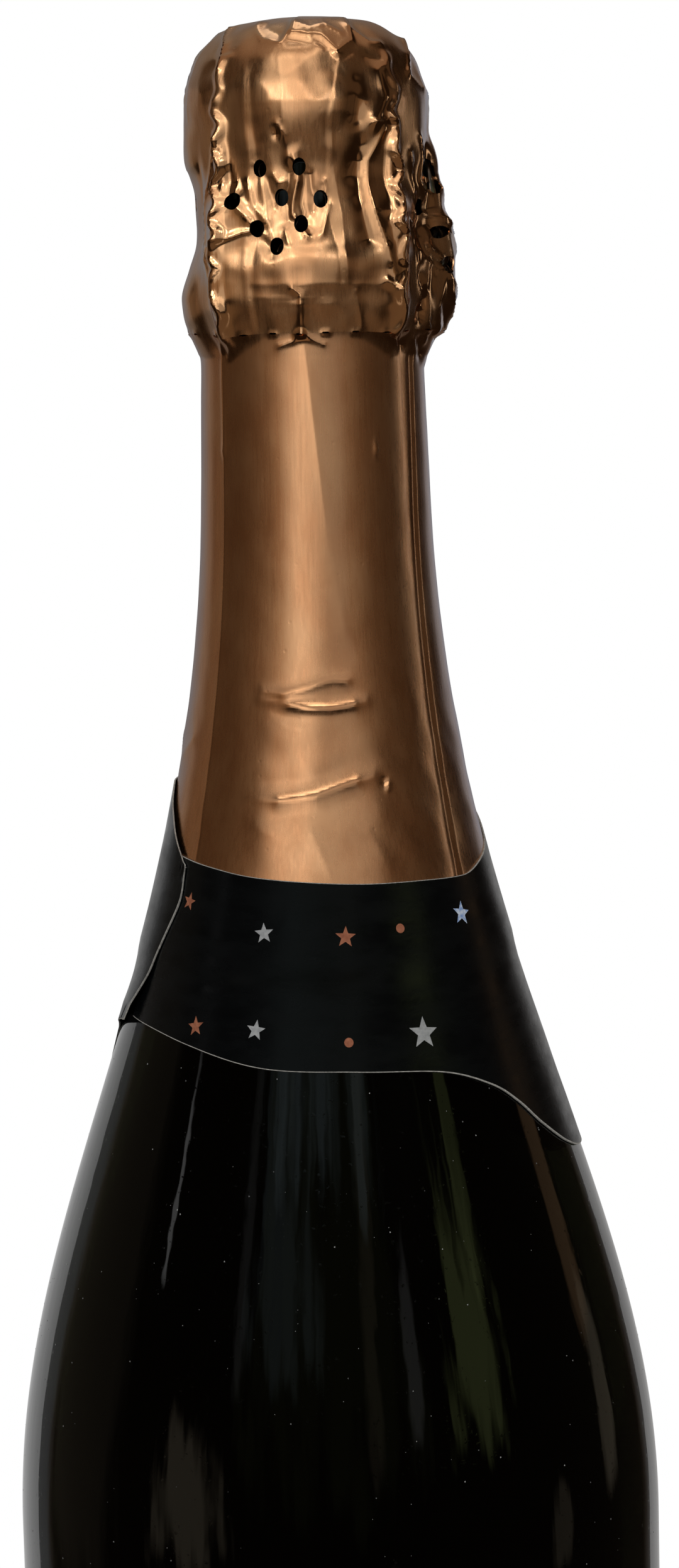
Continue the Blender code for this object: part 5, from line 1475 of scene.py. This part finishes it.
def softenPanel(data, streaks, ragged):
    # radiance x the share 4u(1 - u) x 4v(1 - v) across the lamp, less some upright noise, with eased edges
    s = lampShape
    data.use_nodes = True
    add = nodeMaker(data.node_tree)
    place = add("NewGeometry").outputs["Parametric"]
    sides = add("SeparateXYZ", {0: place})
    share = 1.0
    for side in ("X", "Y"):
        value = sides.outputs[side]
        rest = calculate(add, "SUBTRACT", 1.0, value)
        share = calculate(add, "MULTIPLY", calculate(add, "MULTIPLY", value, rest), share)
    share = calculate(add, "MULTIPLY", share, 16.0)
    leaves = noise(add, add("Mapping", {"Vector": place, "Scale": streaks}).outputs[0], 1.0, 3)
    share = calculate(add, "SUBTRACT", share, spread(add, leaves, 0, ragged, *s["leaves"]))
    eased = add("MapRange", {"Value": share, "From Min": 0.0, "From Max": s["edge"]}, interpolation_type="SMOOTHSTEP")
    data.node_tree.links.new(eased.outputs[0], data.node_tree.nodes["Emission"].inputs["Strength"])


def acrossSize(angle):
    # 2 x far x tan(angle / 2)
    return 2 * lampShape["far"] * math.tan(math.radians(angle / 2))


def addPanel(name, azimuth, elevation, distance, width, tall, radiance, onlyFor=None, tint="plain"):
    # an area lamp that faces the neck; its power, pi x area x radiance, gives the radiance asked for
    data = bpy.data.lights.new(name, "AREA")
    data.shape, data.size, data.size_y = "RECTANGLE", width, tall
    data.energy, data.color = math.pi * width * tall * radiance, tints[tint]
    rise = math.radians(elevation)
    away = around(distance * math.cos(rise), azimuth, distance * math.sin(rise))
    back = away / np.linalg.norm(away)
    right = np.cross([0, 0, 1.0], back)
    right /= np.linalg.norm(right)
    lamp = stand(name, data, right, np.cross(back, right), back, away + [0, 0, lampShape["aim"]])
    lamp.visible_camera = False
    lamp.visible_glossy, lamp.visible_diffuse = onlyFor is not None, onlyFor is None
    if onlyFor:
        lamp.light_linking.receiver_collection = onlyFor
    return data


def groupOf(name, pieces):
    # a collection for a lamp to light alone
    group = bpy.data.collections.new(name)
    for piece in pieces:
        group.objects.link(piece)
    return group


def buildLamps():
    # a ring of plain boxes round the foil, the high and the dim soft shapes, and the lamps that light all
    s, objects = lampShape, bpy.data.objects
    foils = groupOf("foilPieces", [objects["foilHood"], objects["foilSleeve"]])
    others = groupOf("otherPieces", [piece for piece in scene.objects if piece.type == "MESH" and piece.name not in (
        "foilHood", "foilSleeve", "studioWall", "floorBoard")])
    low, high = (math.tan(math.radians(angle)) for angle in s["foilRise"])
    middle = math.degrees(math.atan((low + high) / 2))
    for index, (azimuth, wide, radiance) in enumerate(foilBoxes):
        tint = "cool" if abs(azimuth) > s["sideways"] else "dusk" if radiance < s["bright"] else "plain"
        addPanel("foilBox%d" % index, azimuth, middle, s["far"], acrossSize(wide), s["far"] * (high - low),
                 radiance, foils, tint)
    for kind, piece in (("hood", "foilHood"), ("sleeve", "foilSleeve")):
        alone = groupOf(kind + "Piece", [objects[piece]])
        for index, (azimuth, elevation, wide, tall, radiance) in enumerate(highBoxes[kind]):
            data = addPanel("%sBox%d" % (kind, index), azimuth, elevation, s["far"], acrossSize(wide),
                            acrossSize(tall), radiance, alone, "dusk" if radiance < s["bright"] else "plain")
            softenPanel(data, (1, 1, index), 0)
    for index, (azimuth, elevation, wide, tall, radiance, tint, ragged) in enumerate(glassBoxes):
        data = addPanel("glassBox%d" % index, azimuth, elevation, s["far"], acrossSize(wide), acrossSize(tall),
                        radiance, others, tint)
        if tall <= s["plainTall"]:
            softenPanel(data, (wide / s["streakWide"], tall / s["streakTall"], index), ragged)
    for name, azimuth, elevation, distance, side, radiance in softLamps:
        addPanel(name, azimuth, elevation, distance, side, side, radiance)


buildCamera()
buildWorld()
buildFloor()
buildWall()
buildLamps()
scene.view_settings.view_transform = "Standard"
print("camera and studio made")
